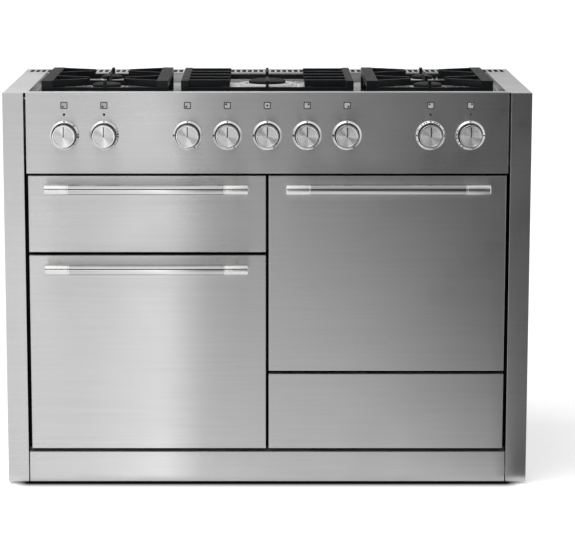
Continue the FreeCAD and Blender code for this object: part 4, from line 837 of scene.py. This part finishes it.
def make_burners():
    heads = bmesh.new()
    caps = bmesh.new()
    sleeves = bmesh.new()
    for name, (x, depth, radius) in BURNERS.items():
        centre = Vector((x, FRONT_Y + depth, DECK_Z))
        if name == "centre":
            add_wok_head(heads, centre, radius)
            edge, height, base = WOK_CAP_RADIUS, WOK_CAP_HEIGHT, WOK_TRAY
        else:
            crown = radius - CROWN_INSET
            add_small_head(heads, centre, radius, crown)
            edge, height, base = crown - CAP_INSET, CAP_HEIGHT, 0
        lathe(caps, [
            (0, 0.0002, 0), (edge - 0.001, 0.0002, 0.0006), (edge, 0.0012, 0.0005),
            (edge, height - 0.0035, 0.003), (edge - 0.012, height, 0.006), (0, height, 0),
        ], centre + Vector((0, 0, HEAD_HEIGHT)), "z", 80)
        foot = centre + Vector((radius + PLUG_GAP, 0, base))
        lathe(sleeves, [(0, 0, 0), (0.0025, 0, 0), (0.0025, 0.004, 0.0004), (0.0021, 0.0048, 0.0003),
                        (0.0021, 0.015, 0.0007), (0, 0.015, 0)], foot, "z", 24, 0)
        lathe(sleeves, [(0, 0.014, 0), (0.001, 0.014, 0), (0.001, 0.0185, 0.0005), (0, 0.019, 0)],
              foot, "z", 16, 1)
    piece("burner_crowns", heads, (ALLOY,), "cooker", replaces=("burner_heads",))
    piece("burner_lids", caps, (LID_ENAMEL,), "cooker", replaces=("burner_caps",))
    piece("spark_plugs", sleeves, (CERAMIC, WIRE), "cooker", replaces=("igniters",))


# Fasteners

BACK_SCREW_RADIUS = 0.0036
BACK_SCREW_MARGIN = 0.014
BACK_SCREWS_ACROSS = 9
BACK_SCREW_STEPS_UP = 6
DOOR_SCREW_RADIUS = 0.003
DOOR_SCREW_MARGIN = 0.02


def add_screw(mesh, place, axis, radius):
    """A hexagon screw with a washer face."""
    lathe(mesh, [(0, 0, 0), (radius * 1.35, 0, 0), (radius * 1.35, radius * 0.25, 0.0003),
                 (0, radius * 0.35, 0)], place, axis, 24)
    turns = [math.pi * step / 3 for step in range(6)]
    corners = [(radius * math.cos(turn), radius * math.sin(turn)) for turn in turns]
    faces = prism(mesh, corners, place, axis, radius * 0.2, radius * 1.05)
    top = faces[1]
    bmesh.ops.bevel(mesh, geom=list(top.edges), offset=radius * 0.12, segments=2, affect="EDGES")


def make_screws():
    """Screws round the back panel and on the inside of each door."""
    mesh = bmesh.new()
    low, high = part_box("back_panel")
    margin = BACK_SCREW_MARGIN
    for step in range(BACK_SCREWS_ACROSS):
        x = low.x + margin + (high.x - low.x - 2 * margin) * step / (BACK_SCREWS_ACROSS - 1)
        for z in (low.z + margin, high.z - margin):
            add_screw(mesh, (x, BACK_Y, z), "y", BACK_SCREW_RADIUS)
    for step in range(1, BACK_SCREW_STEPS_UP):
        z = low.z + margin + (high.z - low.z - 2 * margin) * step / BACK_SCREW_STEPS_UP
        for x in (low.x + margin, high.x - margin):
            add_screw(mesh, (x, BACK_Y, z), "y", BACK_SCREW_RADIUS)
    piece("back_screws", mesh, (WIRE,), "cooker")
    for door in DOORS:
        low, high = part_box(f"{door}_liner")
        inner = bmesh.new()
        margin = DOOR_SCREW_MARGIN
        for x in (low.x + margin, (low.x + high.x) / 2, high.x - margin):
            for z in (low.z + margin, high.z - margin):
                add_screw(inner, (x, high.y, z), "y", DOOR_SCREW_RADIUS)
        piece(f"{door}_screws", inner, (WIRE,), door)


# Camera, lights and floor

CAMERA_PLACE = (-0.0048, -5.940, 1.471)
CAMERA_PITCH = math.radians(90 - 9.76)
CAMERA_LENS = 154.95
CAMERA_SENSOR = 36
CAMERA_SHIFT = 0.0388
CAMERA_CLIP_END = 200

# Strength of the world for diffuse light, and the floor's own light where it is seen directly
WORLD_LIGHT = 0.52
FLOOR_LIFT = 0.4
FLOOR_HALF = 40

# The dark contact shadow painted on the floor: insets and depth of its area under the cooker, and how far it
# fades
CONTACT_SHADOW_GREY = 0.04
CONTACT_INSETS = (0.05, 0.01)
CONTACT_REACH = 0.032
CONTACT_DEPTH = 0.2

SUN_FROM = (-0.42, -0.3, 1.0)
SUN_SPREAD = math.radians(38)
SUN_POWER = 1.3

# The flag's distance behind the cooker's middle, half width, and lower and upper edge
FLAG_Y = 1.5
FLAG_HALF_WIDTH = 1.2
FLAG_SPAN = (1.05, 1.5)

# The reflector's columns from left to right, as shares of the cooker's half width
CARD_PLACE_SHARES = (
    -6, -2.2, -0.96, -0.88, -0.70, -0.51, -0.40, -0.25, -0.05,
    0.13, 0.32, 0.50, 0.68, 0.87, 0.96, 1.25, 1.7, 6,
)
DARK_ROW = (0.07,) * 9 + (0.06, 0.05, 0.04, 0.03, 0.02, 0.02, 0.02, 0.3, 0.3)
CARD_ROWS = (
    # Each row has its y, its z and its light strengths
    (-0.30, 0.012,
     (0.6, 0.8, 0.95, 1.15, 1.25, 1.4, 1.7, 1.1, 1.05, 1.05, 1.0, 1.15, 1.0, 0.95, 0.1, 0.1, 0.8, 0.6)),
    (-0.42, 0.012,
     (0.6, 0.8, 0.9, 0.95, 1.0, 1.15, 1.35, 0.9, 0.85, 0.9, 0.9, 0.9, 0.78, 0.65, 0.15, 0.15, 0.8, 0.6)),
    (-0.75, 0.012,
     (0.6, 0.8, 0.95, 1.0, 1.0, 1.2, 1.4, 0.85, 0.95, 0.98, 1.0, 0.86, 0.72, 0.58, 0.36, 0.3, 0.8, 0.6)),
    (-1.25, 0.012,
     (0.6, 0.8, 1.0, 1.0, 0.9, 1.2, 1.5, 0.7, 0.8, 0.82, 0.8, 0.6, 0.4, 0.3, 0.22, 0.15, 0.7, 0.6)),
    (-2.20, 0.012,
     (0.6, 0.8, 1.0, 1.0, 0.88, 1.2, 1.6, 0.6, 0.6, 0.54, 0.4, 0.3, 0.18, 0.12, 0.06, 0.04, 0.7, 0.6)),
    (-2.20, 0.40,
     (0.6, 0.85, 1.2, 1.28, 1.08, 1.32, 1.8, 0.38, 0.42, 0.3, 0.12, 0.16, 0.08, 0.06, 0.02, 0.02, 0.7, 0.6)),
    (-2.20, 0.77,
     (0.6, 0.9, 1.7, 1.85, 1.6, 1.8, 2.3, 0.38, 0.38, 0.22, 0.04, 0.12, 0.05, 0.04, 0.02, 0.02, 0.7, 0.6)),
    (-2.20, 0.79, DARK_ROW),
    (-2.20, 1.60, DARK_ROW),
    (-2.20, 1.64,
     (0.6, 0.9, 1.2, 1.2, 1.2, 1.3, 1.3, 0.9, 0.75, 0.55, 0.4, 0.4, 0.35, 0.3, 0.28, 0.28, 0.8, 0.6)),
    (-2.20, 4.50,
     (0.6, 0.8, 1.0, 1.0, 1.0, 1.0, 1.0, 0.9, 0.8, 0.7, 0.6, 0.55, 0.5, 0.5, 0.5, 0.5, 0.8, 0.6)),
    (0.80, 4.50, (0.7,) * len(CARD_PLACE_SHARES)),
)


def add_object(name, data):
    made = bpy.data.objects.new(name, data)
    bpy.context.scene.collection.objects.link(made)
    return made


def stage_object(name, mesh, material):
    """An object of the studio from a finished mesh."""
    data = bpy.data.meshes.new(name)
    mesh.to_mesh(data)
    mesh.free()
    data.materials.append(material)
    return add_object(name, data)


def make_camera():
    data = bpy.data.cameras.new("camera")
    data.lens = CAMERA_LENS
    data.sensor_width = CAMERA_SENSOR
    data.shift_x = CAMERA_SHIFT
    data.clip_end = CAMERA_CLIP_END
    camera = add_object("camera", data)
    camera.location = CAMERA_PLACE
    camera.rotation_euler = (CAMERA_PITCH, 0, 0)
    bpy.context.scene.camera = camera


def seen_directly(shader):
    """1 on rays that come straight from the view or from a gloss or glass surface."""
    path = shader.node("LightPath").outputs
    direct = shader.math("ADD", path["Is Camera Ray"], path["Is Glossy Ray"])
    return shader.math("MINIMUM", shader.math("ADD", direct, path["Is Transmission Ray"]), 1.0)


def outside_painted_contact_shadow(shader):
    """Painted contact shadow on the floor: 0 under the plinth and along its foot, where hardly any light
    gets in, and 1 a little way out.
    """
    split = shader.node("SeparateXYZ", {0: shader.coordinates}).outputs
    reaches = (cad_box[1][0], CONTACT_DEPTH / 2)
    centres = (0.0, FRONT_Y + CONTACT_DEPTH / 2)
    outside = []
    for axis in (0, 1):
        offset = shader.math("ABSOLUTE", shader.math("SUBTRACT", split[axis], centres[axis]))
        beyond = shader.math("SUBTRACT", offset, reaches[axis] - CONTACT_INSETS[axis])
        outside.append(shader.math("MAXIMUM", beyond, 0.0))
    flat = shader.node("CombineXYZ", {0: outside[0], 1: outside[1]}).outputs[0]
    distance = shader.node("VectorMath", {0: flat}, operation="LENGTH").outputs["Value"]
    return shader.span(distance, CONTACT_INSETS[1], CONTACT_INSETS[1] + CONTACT_REACH, 0, 1)


def make_floor():
    shader = Shader("studio_floor", Roughness=0.9, Specular_IOR_Level=0.0)
    grain = shader.noise(3.0, 4.0, 0.6)
    unshadowed_floor = outside_painted_contact_shadow(shader)
    lift = shader.math("MULTIPLY", seen_directly(shader), FLOOR_LIFT)
    # Painted shadow: the floor's colour and its own light are darkened along the plinth's foot
    shader.set(Base_Color=shader.blend(unshadowed_floor, rgb(CONTACT_SHADOW_GREY), shader.tint(grain, 0.84, 0.86)),
               Emission_Color=rgb(1.0), Emission_Strength=shader.math("MULTIPLY", lift, unshadowed_floor))
    mesh = bmesh.new()
    bmesh.ops.create_grid(mesh, x_segments=1, y_segments=1, size=FLOOR_HALF)
    floor = stage_object("studio_floor", mesh, shader.material)


def make_world():
    """White where it is seen directly, mirrored or through glass, and WORLD_LIGHT for all other light."""
    world = bpy.data.worlds.new("studio")
    bpy.context.scene.world = world
    world.use_nodes = True
    tree = world.node_tree
    background = tree.nodes["Background"]
    path = tree.nodes.new("ShaderNodeLightPath").outputs
    total = path["Is Camera Ray"]
    for ray in ("Is Glossy Ray", "Is Transmission Ray"):
        add = tree.nodes.new("ShaderNodeMath")
        add.operation = "ADD"
        add.use_clamp = True
        tree.links.new(total, add.inputs[0])
        tree.links.new(path[ray], add.inputs[1])
        total = add.outputs[0]
    level = tree.nodes.new("ShaderNodeMapRange")
    level.inputs["To Min"].default_value = WORLD_LIGHT
    level.inputs["To Max"].default_value = 1.0
    tree.links.new(total, level.inputs["Value"])
    tree.links.new(level.outputs[0], background.inputs["Strength"])
    background.inputs["Color"].default_value = (1, 1, 1, 1)


def make_sun():
    """A large soft light from the upper left, in front of the cooker."""
    data = bpy.data.lights.new("soft_sun", "SUN")
    data.angle = SUN_SPREAD
    data.energy = SUN_POWER
    lamp = add_object("soft_sun", data)
    lamp.rotation_euler = (-Vector(SUN_FROM)).to_track_quat("-Z", "Y").to_euler()


def glossy_only(item):
    """Leaves an object of the stage to glossy rays alone."""
    item.visible_camera = False
    item.visible_diffuse = False
    item.visible_shadow = False
    item.visible_transmission = False


def make_reflector():
    """A studio reflector and apron in front of the cooker: light at the left, shaded to the right."""
    mesh = bmesh.new()
    tone = mesh.verts.layers.float.new("tone")
    rows = []
    half = cad_box[1][0]
    for y, z, shares in CARD_ROWS:
        reach = 1 + (FRONT_Y - y) / (FRONT_Y - CAMERA_PLACE[1])
        row = []
        for place, share in zip(CARD_PLACE_SHARES, shares):
            vert = mesh.verts.new((place * half * reach, y, z))
            vert[tone] = share
            row.append(vert)
        rows.append(row)
    for low, high in zip(rows, rows[1:]):
        for index in range(len(low) - 1):
            mesh.faces.new((low[index], low[index + 1], high[index + 1], high[index]))
    shader = Shader("reflector_light")
    light = shader.node("Attribute", attribute_name="tone", attribute_type="GEOMETRY").outputs["Fac"]
    emission = shader.node("Emission", {"Strength": light})
    shader.feed(shader.tree.nodes["Material Output"].inputs["Surface"], emission.outputs[0])
    glossy_only(stage_object("reflector", mesh, shader.material))


def make_rear_flag():
    """A dark strip behind the cooker that the polished deck mirrors."""
    mesh = bmesh.new()
    low, high = FLAG_SPAN
    corners = [(-FLAG_HALF_WIDTH, FLAG_Y, low), (FLAG_HALF_WIDTH, FLAG_Y, low),
               (FLAG_HALF_WIDTH, FLAG_Y, high), (-FLAG_HALF_WIDTH, FLAG_Y, high)]
    mesh.faces.new([mesh.verts.new(corner) for corner in corners])
    shader = Shader("flag_cloth", Roughness=1.0, Specular_IOR_Level=0.0)
    shader.set(Base_Color=shader.tint(shader.noise(40.0, 3.0, 0.6), 0.004, 0.008))
    glossy_only(stage_object("rear_flag", mesh, shader.material))


finish_nodes()
for knob in KNOBS:
    make_knob(knob)
make_bezels()
make_lamps()
make_signs()
for door in DOORS:
    make_handle(door)
make_burners()
make_screws()
make_camera()
make_world()
make_floor()
make_sun()
make_reflector()
make_rear_flag()

bpy.context.scene.view_settings.view_transform = "Standard"
